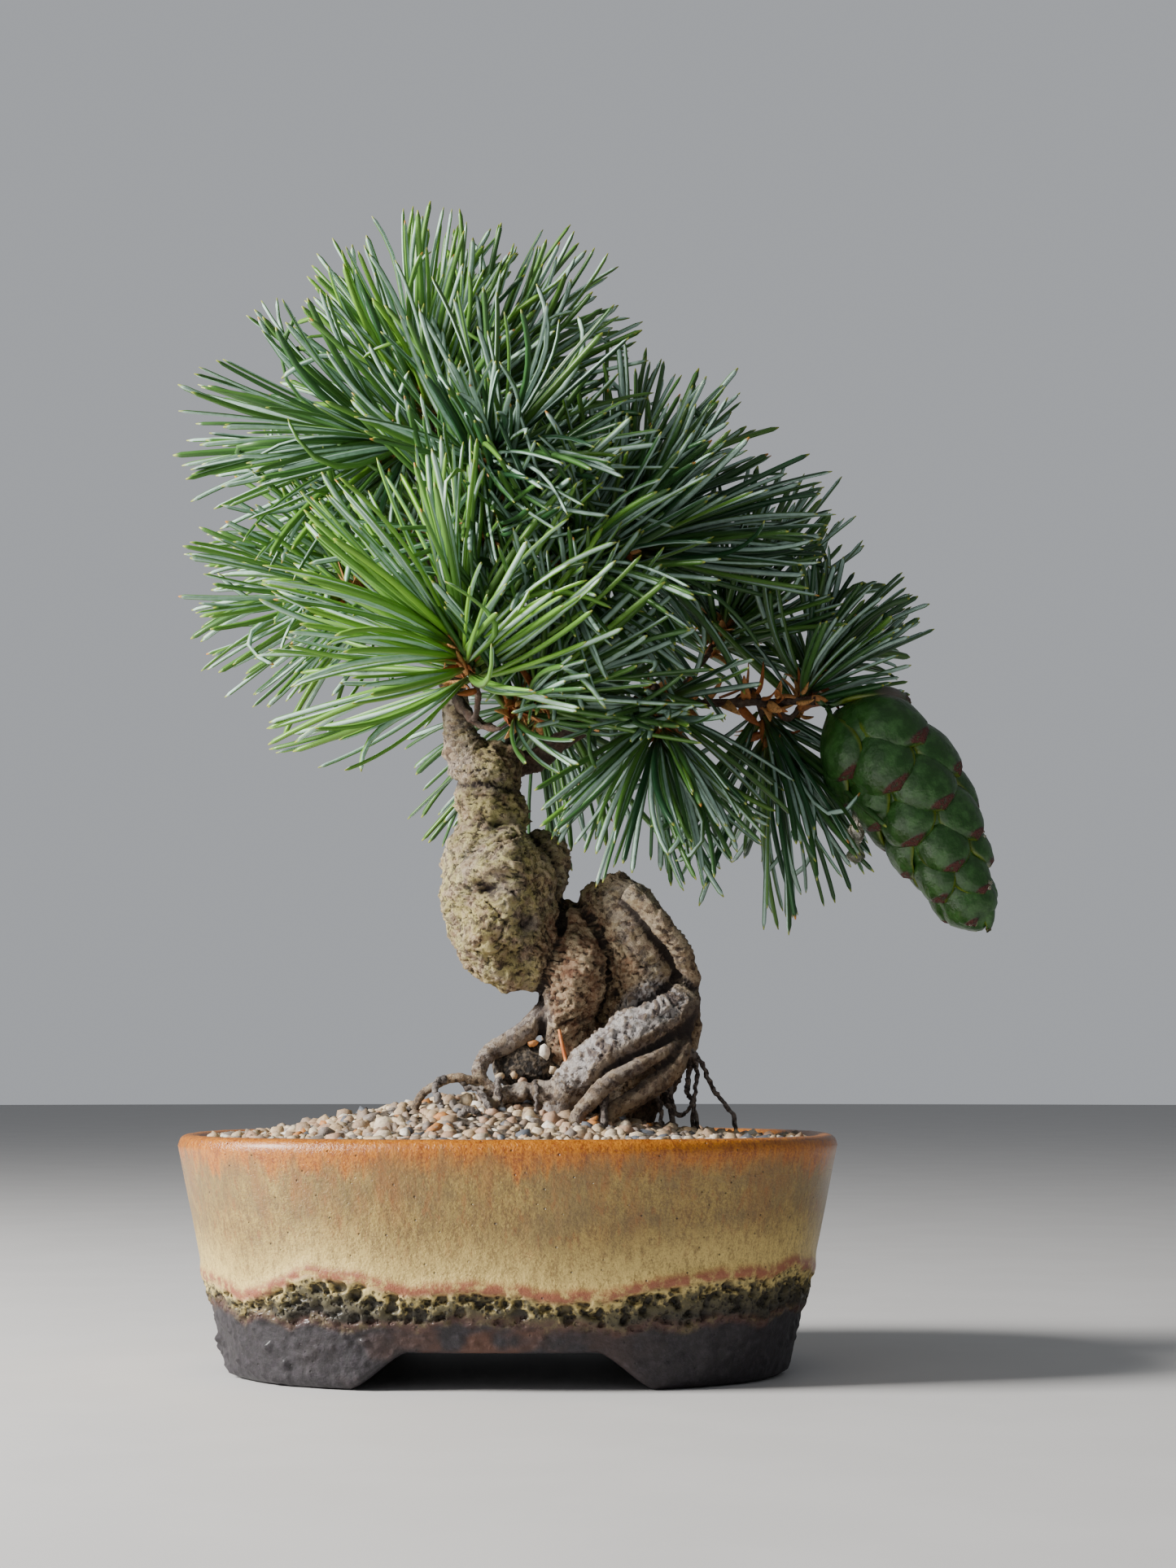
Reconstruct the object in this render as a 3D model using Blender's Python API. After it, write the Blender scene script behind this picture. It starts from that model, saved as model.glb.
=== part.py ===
"""A dwarf five-needle pine in a glazed oval pot: the design model.

Metres, +Z up, the long side of the pot along X, its front towards -Y.
The pot stands on four corner feet.  A folded trunk rises out of a gravel
mound; twigs end in shoots that each carry one tuft of needles, and one
green cone hangs from the end of the longest branch.

Every point of the tree is given from the middle of the pot's mouth, with
its height counted from the rim, so the tree moves with the pot's height.
"""

import math
import random

import bmesh
import bpy
from mathutils import Matrix, Vector
from mathutils.bvhtree import BVHTree

MM = 0.001

# Pot: outside sizes at the rim and at the foot, and its walls.
POT_LENGTH = 140 * MM
POT_DEPTH = 115 * MM
POT_HEIGHT = 49.5 * MM
BASE_LENGTH = 119 * MM
BASE_DEPTH = 98 * MM
POT_WALL = 5 * MM
FLOOR_UNDERSIDE = 9 * MM
FLOOR_THICKNESS = 4.5 * MM
FOOT_WALL = 9.5 * MM
EDGE_EASE = 1.2 * MM
OVAL_POWER = 2.5
OVAL_SIDES = 56

# Arches cut through the foot ring, front to back and side to side.
FRONT_ARCH_LOW = 60 * MM
FRONT_ARCH_HIGH = 38 * MM
FRONT_ARCH_HEIGHT = 7.5 * MM
SIDE_ARCH_LOW = 26 * MM
SIDE_ARCH_HIGH = 14 * MM
SIDE_ARCH_HEIGHT = 5 * MM

# Drainage and the wire that ties the root ball down.
DRAIN_RADIUS = 6.5 * MM
DRAIN_SPACING = 48 * MM
MESH_SIDE = 18 * MM
MESH_THICKNESS = 1 * MM
MESH_BAR = 1.5 * MM
MESH_OPENINGS = 3
WIRE_RADIUS = 1 * MM
WIRE_BEND = 5 * MM
WIRE_TOP_BELOW_RIM = 22 * MM
WIRE_DROP = 1.4 * MM

# Soil and gravel: depth below the rim at the wall, and the mound.
GRAVEL_BELOW_RIM = 2 * MM
GRAVEL_THICKNESS = 4 * MM
GRAVEL_BUMP = 0.7 * MM
MOUND_HEIGHT = 9.4 * MM
MOUND_X = -6 * MM
MOUND_LENGTH = 36 * MM
MOUND_DEPTH = 30 * MM
BED_RINGS = 6

# Clearances.
FIT_GAP = 0.3 * MM
ROOT_GAP = 1.1 * MM
WIRE_GAP = 0.5 * MM
NEEDLE_GAP = 0.35 * MM
BARK_MARGIN = 0.9 * MM
SCALE_GAP = 1.0 * MM

# Foliage.
NEEDLE_LENGTH = 43 * MM
NEEDLE_VARIATION = 0.14
HEART_RADIUS = 4.2 * MM
TWIG_TIP_RADIUS = 1.1 * MM
TWIG_END_GAP = 0.6 * MM
BUD_LENGTH = 2.6 * MM
BUD_WALL = 1.0 * MM
BUD_SIDES = 8

# Cone and resin.
CONE_LENGTH = 60 * MM
CONE_WIDTH = 27 * MM
CONE_RINGS = 26
CONE_SIDES = 22
CONE_BUMP = 0.13
CONE_GAP = 0.5 * MM
DRIP_LENGTH = 12 * MM
DRIP_RADIUS = 2.1 * MM
DRIP_ALONG_CONE = 0.36
DRIP_GAP = 0.8 * MM
DRIP_THREAD = 0.2

# Fineness of the grown solids.
BARK_VOXEL = 0.62 * MM
BARK_KEEP = 0.033
CUTTER_VOXEL = 1.3 * MM
CUTTER_KEEP = 0.12
SEED = 5

GLAZE = ((0.56, 0.36, 0.14), 0.3)
BLACK_PLASTIC = ((0.03, 0.03, 0.03), 0.55)
DARK_EARTH = ((0.11, 0.075, 0.05), 0.95)
GRIT = ((0.50, 0.42, 0.34), 0.85)
BARK = ((0.34, 0.28, 0.20), 0.9)
NEEDLE_GREEN = ((0.09, 0.24, 0.07), 0.5)
PAPERY_BROWN = ((0.48, 0.21, 0.07), 0.8)
CONE_GREEN = ((0.08, 0.17, 0.05), 0.4)
RESIN = ((0.85, 0.74, 0.55), 0.08)

# Limbs: points of (x, y, height above the rim, radius) in millimetres.
TRUNK = {
    "main_fold": [(17, 1, -9, 8.0), (20.5, 3, 1, 9.0), (24.5, 4.5, 9, 9.2), (28.6, 5, 18, 10.8), (28.8, 4, 28, 10.4),
                  (28.2, 2, 35, 9.2), (26.4, 1.5, 41, 9.0), (24.6, 1.5, 46.0, 9.2), (18.6, 2, 49.0, 5.3)],
    "middle_strand": [(14.6, 1, 47.0, 4.0), (15.0, -2, 42.0, 5.0), (14.6, -4.5, 36.0, 6.0), (13.6, -5, 31.4, 6.5),
                      (12.0, -4, 25.0, 6.3), (12.5, -2, 18.6, 5.6), (14, 0, 8, 6.5), (16, 1, -4, 6.5)],
    "left_lump": [(1.8, -4, 30.0, 3.6), (0.9, -4, 35.0, 7.2), (-0.3, -4, 41.0, 10.4), (-1.7, -3, 50.7, 13.0),
                  (-4.0, -2, 57.5, 11.4), (-4.5, 0, 64.0, 7.6)],
    "lump_bridge": [(-0.3, -3, 40, 9.0), (7.0, -2, 37, 8.0), (14.0, 0, 34, 7.0), (22, 4, 30, 8.0)],
    "back_fold": [(18, 10, -2, 7.0), (20, 12, 12, 7.5), (22, 12, 26, 7.5), (18, 9, 38, 7.0), (8, 5, 46, 7.0),
                  (0, 3, 52, 8.0)],
    "right_knob": [(2, 3, 60, 5.5), (7.2, 2, 59.8, 5.2), (7.8, 1, 55, 5.2), (6, 0, 49, 6.0)],
    "upper_trunk": [(-4.3, 0, 60, 8.2), (-4.1, 0, 69.9, 7.2), (-4.9, 0, 74.5, 7.0), (-5.4, 0, 77.0, 7.2),
                    (-7.6, 0, 81.0, 6.0)],
    "neck": [(-8.3, 0, 79.5, 5.8), (-10.6, -0.5, 84.5, 4.1), (-11.5, -0.5, 89.5, 3.2), (-13.0, 0, 97.0, 3.2)],
    "snapped_stub": [(-3.6, 1, 77.5, 5.6), (-1.7, 2, 83.2, 4.4)],
    "left_nub": [(-9.0, 0, 81.0, 4.4), (-14.9, -0.5, 82.6, 1.4)],
    "bark_cord": [(25.3, -7, 51.6, 2.3), (28.6, -7.5, 48.6, 2.6), (32.8, -7, 43.9, 2.7), (36.6, -5.5, 39.2, 2.6),
                  (38.9, -3.5, 33.6, 2.5), (39.9, -2, 28.0, 2.4), (39.6, -0.5, 22.5, 2.2), (39.2, 1, 17.5, 1.7)],
}
ROOTS = {
    "slanting_root": [(37.0, -2, 28.0, 5.5), (33.6, -6, 24.3, 5.2), (25.9, -10, 19.9, 5.6), (19.5, -12, 16.0, 5.2),
                      (14.4, -12, 12.1, 4.0), (11.5, -12, 9.0, 3.2), (8.5, -11, -2.0, 2.6)],
    "upper_front_root": [(37.8, -7, 21.0, 2.0), (33.0, -12.5, 17.0, 1.9), (26.5, -16, 14.0, 1.9),
                         (20.8, -18, 10.6, 1.9), (17.3, -19, 7.0, 1.8), (14.5, -19, 3.5, 1.7),
                         (12.5, -19, -4.0, 1.5)],
    "lower_front_root": [(38.5, -5, 24.0, 1.8), (37.0, -10, 17.5, 2.2), (33.0, -13, 12.0, 2.4), (27.5, -15.5, 8.0, 2.0),
                         (21.5, -17, 4.2, 1.8), (18.5, -17, -4.0, 1.5)],
    "right_flare": [(35.6, 4, 20.0, 4.8), (29.8, 5, 10.0, 4.6), (26.8, 5, 2.8, 4.8), (25.0, 5, -6.0, 4.4)],
    "back_root": [(16, 13, 10, 4.5), (8, 18, 5, 2.8), (2, 22, 1, 2.0), (-2, 25, -4, 1.5)],
    "left_loop": [(9.0, -3, 26.0, 4.5), (4.7, -5, 22.4, 2.8), (0.3, -7, 19.4, 2.3), (-4.4, -8, 16.8, 2.1),
                  (-6.2, -9, 12.9, 1.9), (-4.6, -10, 9.5, 2.1), (-0.8, -11, 8.0, 2.4)],
    "base_log": [(-0.8, -11, 8.0, 2.4), (5.5, -12, 9.2, 2.2), (12.0, -12, 8.2, 2.6), (17.0, -8, 6.0, 3.6)],
    "arched_root": [(-4.0, -9, 9.5, 1.7), (-6.3, -11, 10.6, 1.3), (-10.7, -12, 11.9, 1.2), (-15.1, -12, 10.3, 1.1),
                    (-18.2, -12, 8.2, 1.1), (-20.3, -12, 3.6, 1.1), (-21.5, -12, -3.0, 1.0)],
    "short_front_root": [(-0.6, -12, 8.0, 2.0), (-1.9, -14, 7.0, 1.7), (-5.0, -16, 4.6, 1.6),
                         (-8.0, -18, 1.0, 1.4), (-10.0, -19, -3.0, 1.2)],
    "inner_hanging_root": [(38.6, -1, 17.0, 1.8), (39.3, -2, 10.3, 1.1), (39.0, -2, 5.8, 1.0),
                           (40.4, -2, 1.8, 1.0), (41.0, -2, -3.5, 0.9)],
}
BRANCHES = {
    "leader": [(-12.5, 0, 93.8, 3.4), (-13.9, 0, 100.9, 3.0), (-15.2, 1, 114.3, 2.5),
               (-15.9, 2, 128.6, 2.1), (-16.7, 1, 139.0, 1.8), (-17.3, 0, 146.0, 1.5)],
    "long_branch": [(-3.0, 3, 79.5, 4.3), (4.5, 4, 81.0, 3.5), (11.1, 3, 85.2, 2.8), (20.0, 1, 90.2, 2.5),
                    (32.3, 0, 92.8, 2.1), (48.2, 0, 93.1, 1.8), (60.0, -1, 93.6, 1.6), (67.0, -3, 93.4, 1.9)],
}

# Shoots: the needles' heart, the way that they point, their share of the full
# needle length, and the points of the twig that leads there.
SHOOTS = {
    "apex": ((-18.3, -1, 161), (-0.1, -0.1, 1.0), 0.98, [(-17.2, 0, 143, 1.6)]),
    "apex_right": ((-8.9, 7, 162.2), (0.75, 0.0, 0.65), 0.96, [(-17.0, 1, 141, 1.6), (-17.5, 5, 149, 1.3)]),
    "upper_left": ((-26.5, -3.5, 150.5), (-1.0, -0.2, 0.15), 1.02, [(-17.0, 0, 143, 1.5)]),
    "left": ((-36.0, 6, 119.0), (-0.8, -0.55, 0.05), 0.84, [(-14.4, 0, 104.4, 1.9), (-20.5, 6, 110, 1.6)]),
    "left_high": ((-34.0, 19, 128.0), (-0.6, 0.1, 0.6), 0.9,
                  [(-18.5, 4.5, 108, 1.5), (-23.5, 12, 114.5, 1.3)]),
    "front_low": ((-9.3, -31, 100.1), (-0.35, -0.35, 0.75), 1.04,
                  [(-13.2, 0, 97.0, 2.0), (-8.0, -14, 88.0, 1.5)]),
    "front_centre": ((5.5, -24, 92.0), (0.6, -0.3, 0.6), 0.9,
                     [(-13.0, 0, 95.5, 2.1), (-7.0, -10, 88.0, 1.7)]),
    "centre": ((-4.5, -16, 129.5), (0.3, -0.6, 0.6), 0.95, [(-15.6, 1, 118, 1.7)]),
    "front_mid": ((-3.9, -24, 141.5), (0.3, -0.8, 0.4), 0.95,
                  [(-16.1, 2, 131, 1.6), (-12.0, -7, 134.5, 1.3)]),
    "right_upper": ((23.2, 4, 132.5), (0.25, -0.1, 0.9), 0.95,
                    [(-15.5, 2, 118, 2.0), (-3.1, 4, 121.0, 1.8), (10.2, 4.5, 120.5, 1.6)]),
    "right_side": ((26.1, -6, 125.9), (1.0, -0.2, 0.1), 1.0, [(8.0, 4.4, 120.6, 1.5)]),
    "right_mid": ((47.9, 18, 112.9), (0.5, 0.1, 0.8), 0.9, [(30.6, 0, 92.8, 1.8), (37.0, 8, 97.0, 1.5)]),
    "right_hang": ((32.4, -12, 86.7), (0.05, -0.5, -0.85), 0.84,
                   [(30.5, 0, 92.6, 1.7), (31.4, -3, 96.0, 1.3)]),
    "far_right": ((66.8, 4, 99.0), (0.6, 0.0, 0.8), 0.7, [(56.0, -0.5, 93.4, 1.6), (58.5, 1.5, 91.5, 1.3)]),
    "far_right_hang": ((56.5, 6, 86.5), (0.25, 0.0, -0.97), 0.95,
                       [(49.0, 0, 93.1, 1.5), (51.5, 3.5, 95.8, 1.3)]),
    "back_left": ((-28.8, 36, 137.9), (-0.4, 0.9, 0.2), 0.9, [(-15.4, 2, 120, 1.8), (-20.0, 14, 129, 1.5)]),
    "back_centre": ((-5.6, 35, 147.0), (0.1, 0.95, 0.4), 0.9, [(-16.1, 2, 131, 1.7), (-12.0, 13, 137, 1.4)]),
    "back_right": ((21.3, 36, 118.8), (0.4, 0.85, 0.1), 0.95, [(5.0, 4.3, 121, 1.6), (12.0, 15, 119.5, 1.3)]),
    "back_low": ((6.1, 30, 94.2), (0.1, 0.8, -0.4), 0.9, [(-1.0, 4, 82.5, 2.0), (1.5, 13, 92, 1.6)]),
    "mid_right": ((12.4, -20, 118.5), (0.3, -0.7, 0.3), 0.9, [(2.0, 4.2, 121, 1.5), (6.0, -3, 117.0, 1.3)]),
}
SHOOTS_WITH_BUD_SCALES = ("apex", "left", "front_low", "front_centre", "centre", "right_upper", "right_hang")


def above_rim(x, y, height):
    """A place of the tree, from millimetres above the rim to metres above the table."""
    return Vector((x * MM, y * MM, POT_HEIGHT + height * MM))


def empty_scene():
    for old in list(bpy.data.objects):
        bpy.data.objects.remove(old, do_unlink=True)


def new_object(name, bm, finish):
    """Turn a bmesh into a named object with its own Principled material."""
    bmesh.ops.recalc_face_normals(bm, faces=bm.faces[:])
    mesh = bpy.data.meshes.new(name)
    bm.to_mesh(mesh)
    bm.free()
    return place(name, mesh, finish)


def place(name, mesh, finish):
    piece = bpy.data.objects.new(name, mesh)
    bpy.context.collection.objects.link(piece)
    if finish:
        piece.data.materials.append(material(name, *finish))
        mesh.shade_smooth()
        mesh.set_sharp_from_angle(angle=math.radians(35))
    return piece


def material(name, colour, roughness):
    made = bpy.data.materials.new(name)
    made.use_nodes = True
    shader = made.node_tree.nodes["Principled BSDF"]
    shader.inputs["Base Color"].default_value = (*colour, 1)
    shader.inputs["Roughness"].default_value = roughness
    shader.inputs["Metallic"].default_value = 0
    return made


def hidden(cutter):
    """A cutter is a guide: it is left out of the finished object."""
    cutter.hide_render = True
    cutter.display_type = "WIRE"
    return cutter


def cut(piece, cutter):
    modifier = piece.modifiers.new("cut", "BOOLEAN")
    modifier.operation = "DIFFERENCE"
    modifier.solver = "EXACT"
    modifier.object = hidden(cutter)


def settle(piece):
    """Apply a piece's modifiers and keep its one largest body."""
    finished = piece.evaluated_get(bpy.context.evaluated_depsgraph_get())
    mesh = bpy.data.meshes.new_from_object(finished)
    piece.modifiers.clear()
    bm = bmesh.new()
    bm.from_mesh(mesh)
    for island in islands(bm)[1:]:
        bmesh.ops.delete(bm, geom=island, context="VERTS")
    bm.to_mesh(mesh)
    bm.free()
    piece.data = mesh


def islands(bm):
    """The connected groups of vertices, largest first."""
    left = set(bm.verts)
    groups = []
    while left:
        group = [left.pop()]
        for vert in group:
            for edge in vert.link_edges:
                other = edge.other_vert(vert)
                if other in left:
                    left.remove(other)
                    group.append(other)
        groups.append(group)
    return sorted(groups, key=len, reverse=True)


# ---------------------------------------------------------------- oval shapes


def oval_point(turn, half_length, half_depth):
    """A point of the pot's oval: an ellipse with fuller corners."""
    across = math.cos(turn)
    along = math.sin(turn)
    power = 2 / OVAL_POWER
    x = half_length * math.copysign(abs(across) ** power, across)
    y = half_depth * math.copysign(abs(along) ** power, along)
    return x, y


def pot_half_sizes(height, inset=0.0):
    """Half length and half depth of the pot's outside at a height, less an inset."""
    share = height / POT_HEIGHT
    half_length = (BASE_LENGTH + (POT_LENGTH - BASE_LENGTH) * share) / 2 - inset
    half_depth = (BASE_DEPTH + (POT_DEPTH - BASE_DEPTH) * share) / 2 - inset
    return half_length, half_depth


def oval_ring(bm, half_length, half_depth, height, sides=OVAL_SIDES):
    """A ring of vertices; height is a number or a function of x and y."""
    ring = []
    for step in range(sides):
        x, y = oval_point(2 * math.pi * step / sides, half_length, half_depth)
        z = height(x, y) if callable(height) else height
        ring.append(bm.verts.new((x, y, z)))
    return ring


def skin(bm, rings):
    """Faces between each ring and the next."""
    for lower, upper in zip(rings, rings[1:]):
        for step in range(len(lower)):
            after = (step + 1) % len(lower)
            bm.faces.new((lower[step], lower[after], upper[after], upper[step]))


def pot_ring(bm, height, inset=0.0):
    return oval_ring(bm, *pot_half_sizes(height, inset), height)


def inner_floor():
    return FLOOR_UNDERSIDE + FLOOR_THICKNESS


def build_pot():
    bm = bmesh.new()
    rings = [
        pot_ring(bm, FLOOR_UNDERSIDE, FOOT_WALL),
        pot_ring(bm, EDGE_EASE, FOOT_WALL),
        pot_ring(bm, 0, FOOT_WALL - EDGE_EASE),
        pot_ring(bm, 0, EDGE_EASE),
        pot_ring(bm, EDGE_EASE),
        pot_ring(bm, POT_HEIGHT - EDGE_EASE),
        pot_ring(bm, POT_HEIGHT, EDGE_EASE),
        pot_ring(bm, POT_HEIGHT, POT_WALL - EDGE_EASE),
        pot_ring(bm, POT_HEIGHT - EDGE_EASE, POT_WALL),
        pot_ring(bm, inner_floor(), POT_WALL),
    ]
    skin(bm, rings)
    bm.faces.new(rings[0])
    bm.faces.new(rings[-1])
    pot = new_object("pot", bm, GLAZE)
    cut(pot, arch_cutter("front_arch", FRONT_ARCH_LOW, FRONT_ARCH_HIGH, FRONT_ARCH_HEIGHT, POT_DEPTH, 0))
    cut(pot, arch_cutter("side_arch", SIDE_ARCH_LOW, SIDE_ARCH_HIGH, SIDE_ARCH_HEIGHT, POT_LENGTH, 90))
    for side in (-1, 1):
        cut(pot, drain_cutter(side))
    settle(pot)
    return pot


def arch_cutter(name, low_width, high_width, height, reach, turn):
    """A bar with slanting sides that runs through both walls of the foot ring."""
    below = 2 * MM
    slope = (low_width - high_width) / 2 / height
    bm = bmesh.new()
    outline = []
    for half, z in (
        (low_width / 2 + slope * below, -below),
        (high_width / 2, height),
        (-high_width / 2, height),
        (-low_width / 2 - slope * below, -below),
    ):
        outline.append(bm.verts.new((half, -reach, z)))
    face = bm.faces.new(outline)
    pushed = bmesh.ops.extrude_face_region(bm, geom=[face])["geom"]
    moved = [item for item in pushed if isinstance(item, bmesh.types.BMVert)]
    bmesh.ops.translate(bm, verts=moved, vec=(0, 2 * reach, 0))
    bmesh.ops.rotate(bm, verts=bm.verts[:], matrix=Matrix.Rotation(math.radians(turn), 3, "Z"))
    return new_object(name, bm, None)


def drain_cutter(side):
    bm = bmesh.new()
    bmesh.ops.create_cone(bm, cap_ends=True, segments=20, radius1=DRAIN_RADIUS, radius2=DRAIN_RADIUS,
                          depth=4 * FLOOR_THICKNESS)
    centre = Vector((side * DRAIN_SPACING / 2, 0, FLOOR_UNDERSIDE + FLOOR_THICKNESS / 2))
    bmesh.ops.translate(bm, verts=bm.verts[:], vec=centre)
    return new_object("drain_cutter", bm, None)


# ------------------------------------------------- drainage mesh, wire, bed


def build_drain_mesh(name, side):
    """A square of plastic mesh over a drain hole, with a centred opening for the wire."""
    bm = bmesh.new()
    lanes = 2 * MESH_OPENINGS + 1
    opening = (MESH_SIDE - (MESH_OPENINGS + 1) * MESH_BAR) / MESH_OPENINGS
    marks = [-MESH_SIDE / 2]
    for lane in range(lanes):
        marks.append(marks[-1] + (MESH_BAR if lane % 2 == 0 else opening))
    grid = [[bm.verts.new((x, y, 0)) for x in marks] for y in marks]
    for row in range(lanes):
        for column in range(lanes):
            if row % 2 and column % 2:
                continue
            bm.faces.new((grid[row][column], grid[row][column + 1],
                          grid[row + 1][column + 1], grid[row + 1][column]))
    pushed = bmesh.ops.extrude_face_region(bm, geom=bm.faces[:])["geom"]
    moved = [item for item in pushed if isinstance(item, bmesh.types.BMVert)]
    bmesh.ops.translate(bm, verts=moved, vec=(0, 0, MESH_THICKNESS))
    bmesh.ops.translate(bm, verts=bm.verts[:], vec=(side * DRAIN_SPACING / 2, 0, inner_floor() + FIT_GAP))
    return new_object(name, bm, BLACK_PLASTIC)


def wire_route():
    """A closed loop: under the floor, up both drain holes and across below the roots."""
    half = DRAIN_SPACING / 2
    low = FLOOR_UNDERSIDE - WIRE_DROP
    high = POT_HEIGHT - WIRE_TOP_BELOW_RIM
    corners = ((half - WIRE_BEND, low + WIRE_BEND, -90), (half - WIRE_BEND, high - WIRE_BEND, 0),
               (WIRE_BEND - half, high - WIRE_BEND, 90), (WIRE_BEND - half, low + WIRE_BEND, 180))
    route = []
    for x, z, first in corners:
        for step in range(6):
            turn = math.radians(first + 18 * step)
            route.append((x + WIRE_BEND * math.cos(turn), 0, z + WIRE_BEND * math.sin(turn), 1))
    return route


def tube_mesh(name, routes, radius, cyclic=False, sides_level=2):
    """The mesh of round tubes along routes of (x, y, z, radius share) points."""
    curve = bpy.data.curves.new(name, "CURVE")
    curve.dimensions = "3D"
    curve.bevel_depth = radius
    curve.bevel_resolution = sides_level
    curve.use_fill_caps = True
    for route in routes:
        spline = curve.splines.new("POLY")
        spline.points.add(len(route) - 1)
        for point, (x, y, z, share) in zip(spline.points, route):
            point.co = (x, y, z, 1)
            point.radius = share
        spline.use_cyclic_u = cyclic
    guide = bpy.data.objects.new(name, curve)
    bpy.context.collection.objects.link(guide)
    mesh = bpy.data.meshes.new_from_object(guide.evaluated_get(bpy.context.evaluated_depsgraph_get()))
    bpy.data.objects.remove(guide, do_unlink=True)
    bm = bmesh.new()
    bm.from_mesh(mesh)
    bmesh.ops.remove_doubles(bm, verts=bm.verts[:], dist=MM / 1000)
    bmesh.ops.recalc_face_normals(bm, faces=bm.faces[:])
    bm.to_mesh(mesh)
    bm.free()
    return mesh


def gravel_top(x, y):
    """Height of the gravel: level at the wall, mounded round the trunk."""
    mound = math.exp(-((x - MOUND_X) / MOUND_LENGTH) ** 2 - (y / MOUND_DEPTH) ** 2)
    return POT_HEIGHT - GRAVEL_BELOW_RIM + MOUND_HEIGHT * mound


def soil_top(x, y):
    return gravel_top(x, y) - GRAVEL_THICKNESS


def build_bed(name, bottom, top, bottom_at_wall, top_at_wall, finish, bump=0.0):
    """A layer that fills the pot's mouth between two heights."""
    chance = random.Random(SEED)
    bm = bmesh.new()
    low_edge = pot_half_sizes(bottom_at_wall, POT_WALL + FIT_GAP)
    high_edge = pot_half_sizes(top_at_wall, POT_WALL + FIT_GAP)
    rings = []
    for edge, height, shares in ((low_edge, bottom, range(1, BED_RINGS + 1)),
                                 (high_edge, top, range(BED_RINGS, 0, -1))):
        for share in shares:
            scale = share / BED_RINGS
            rings.append(oval_ring(bm, edge[0] * scale, edge[1] * scale, height, OVAL_SIDES // 2))
    skin(bm, rings)
    for ring, height in ((rings[0], bottom), (rings[-1], top)):
        centre = bm.verts.new((0, 0, height(0, 0)))
        for step in range(len(ring)):
            bm.faces.new((ring[step], ring[(step + 1) % len(ring)], centre))
    for ring in rings[BED_RINGS + 1:]:
        for vert in ring:
            vert.co.z += chance.uniform(-bump, bump)
    return new_object(name, bm, finish)


def build_soil(wire, roots):
    soil = build_bed(
        "soil", lambda x, y: inner_floor() + FIT_GAP, lambda x, y: soil_top(x, y) - FIT_GAP,
        inner_floor(), POT_HEIGHT - GRAVEL_BELOW_RIM - GRAVEL_THICKNESS, DARK_EARTH)
    for side in (-1, 1):
        cut(soil, mesh_pocket(side))
    cut(soil, wire)
    cut(soil, roots)
    settle(soil)


def build_top_dressing(roots):
    wall_height = POT_HEIGHT - GRAVEL_BELOW_RIM
    dressing = build_bed("top_dressing", soil_top, gravel_top, wall_height - GRAVEL_THICKNESS,
                         wall_height, GRIT, GRAVEL_BUMP)
    cut(dressing, roots)
    settle(dressing)


def mesh_pocket(side):
    bm = bmesh.new()
    bmesh.ops.create_cube(bm, size=1)
    size = Vector((MESH_SIDE + 2 * FIT_GAP, MESH_SIDE + 2 * FIT_GAP, 2 * MESH_THICKNESS + 4 * FIT_GAP))
    bmesh.ops.scale(bm, verts=bm.verts[:], vec=size)
    bmesh.ops.translate(bm, verts=bm.verts[:], vec=(side * DRAIN_SPACING / 2, 0, inner_floor() + FIT_GAP))
    return new_object("mesh_pocket", bm, None)


# ----------------------------------------------------------------- the tree


def smooth_limb(points, steps=5):
    """A smooth curve through a limb's points, radius included (Catmull-Rom)."""
    ends = [points[0], *points, points[-1]]
    path = []
    for before, start, finish, after in zip(ends, ends[1:], ends[2:], ends[3:]):
        for step in range(steps):
            t = step / steps
            path.append(tuple(
                0.5 * (2 * b + (c - a) * t + (2 * a - 5 * b + 4 * c - d) * t * t
                       + (3 * b - a - 3 * c + d) * t ** 3)
                for a, b, c, d in zip(before, start, finish, after)))
    path.append(tuple(points[-1]))
    return [(*above_rim(x, y, height), radius * MM) for x, y, height, radius in path]


def underground_roots():
    """Thick roots that spread through the soil, as far as the pot's inside allows."""
    reach_x, reach_y = pot_half_sizes(POT_HEIGHT / 2, POT_WALL)
    roots = {}
    for name, share_x, share_y in (("right", 0.66, 0.3), ("left", -0.5, 0.42), ("front", -0.1, -0.62)):
        end_x = share_x * reach_x / MM
        end_y = share_y * reach_y / MM
        roots[name] = [(20, 2, -4, 5.0), (20 + 0.5 * (end_x - 20), 2 + 0.5 * (end_y - 2), -10, 3.2),
                       (end_x, end_y, -15, 1.6)]
    foot_x = 0.76 * pot_half_sizes(POT_HEIGHT, POT_WALL)[0] / MM
    roots["outer_hanging_root"] = [(39.2, 1, 18.8, 1.7), (42.0, 2, 11.8, 1.1), (46.3, 2, 5.8, 1.0),
                                   (foot_x, 2, 0.6, 1.0), (foot_x + 0.6, 2, -4.0, 0.9)]
    return roots


def shoot_heart(name):
    heart, aim = SHOOTS[name][:2]
    return above_rim(*heart), Vector(aim).normalized()


def twig(name):
    """A twig's points: it straightens out, runs through any bud scales and ends behind its tuft."""
    heart, aim = shoot_heart(name)
    end = HEART_RADIUS + TWIG_END_GAP + TWIG_TIP_RADIUS
    straight = 3 * MM
    if name in SHOOTS_WITH_BUD_SCALES:
        straight = bud_collar_distance() + 1.8 * BUD_LENGTH - end
    points = list(SHOOTS[name][3])
    for behind in (end + straight, end):
        at = heart - aim * behind
        points.append((at.x / MM, at.y / MM, (at.z - POT_HEIGHT) / MM, TWIG_TIP_RADIUS / MM))
    return points


def limbs():
    every = {**TRUNK, **ROOTS, **underground_roots(), **BRANCHES}
    for name in SHOOTS:
        every["twig_" + name] = twig(name)
    return {name: smooth_limb(points) for name, points in every.items()}


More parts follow.
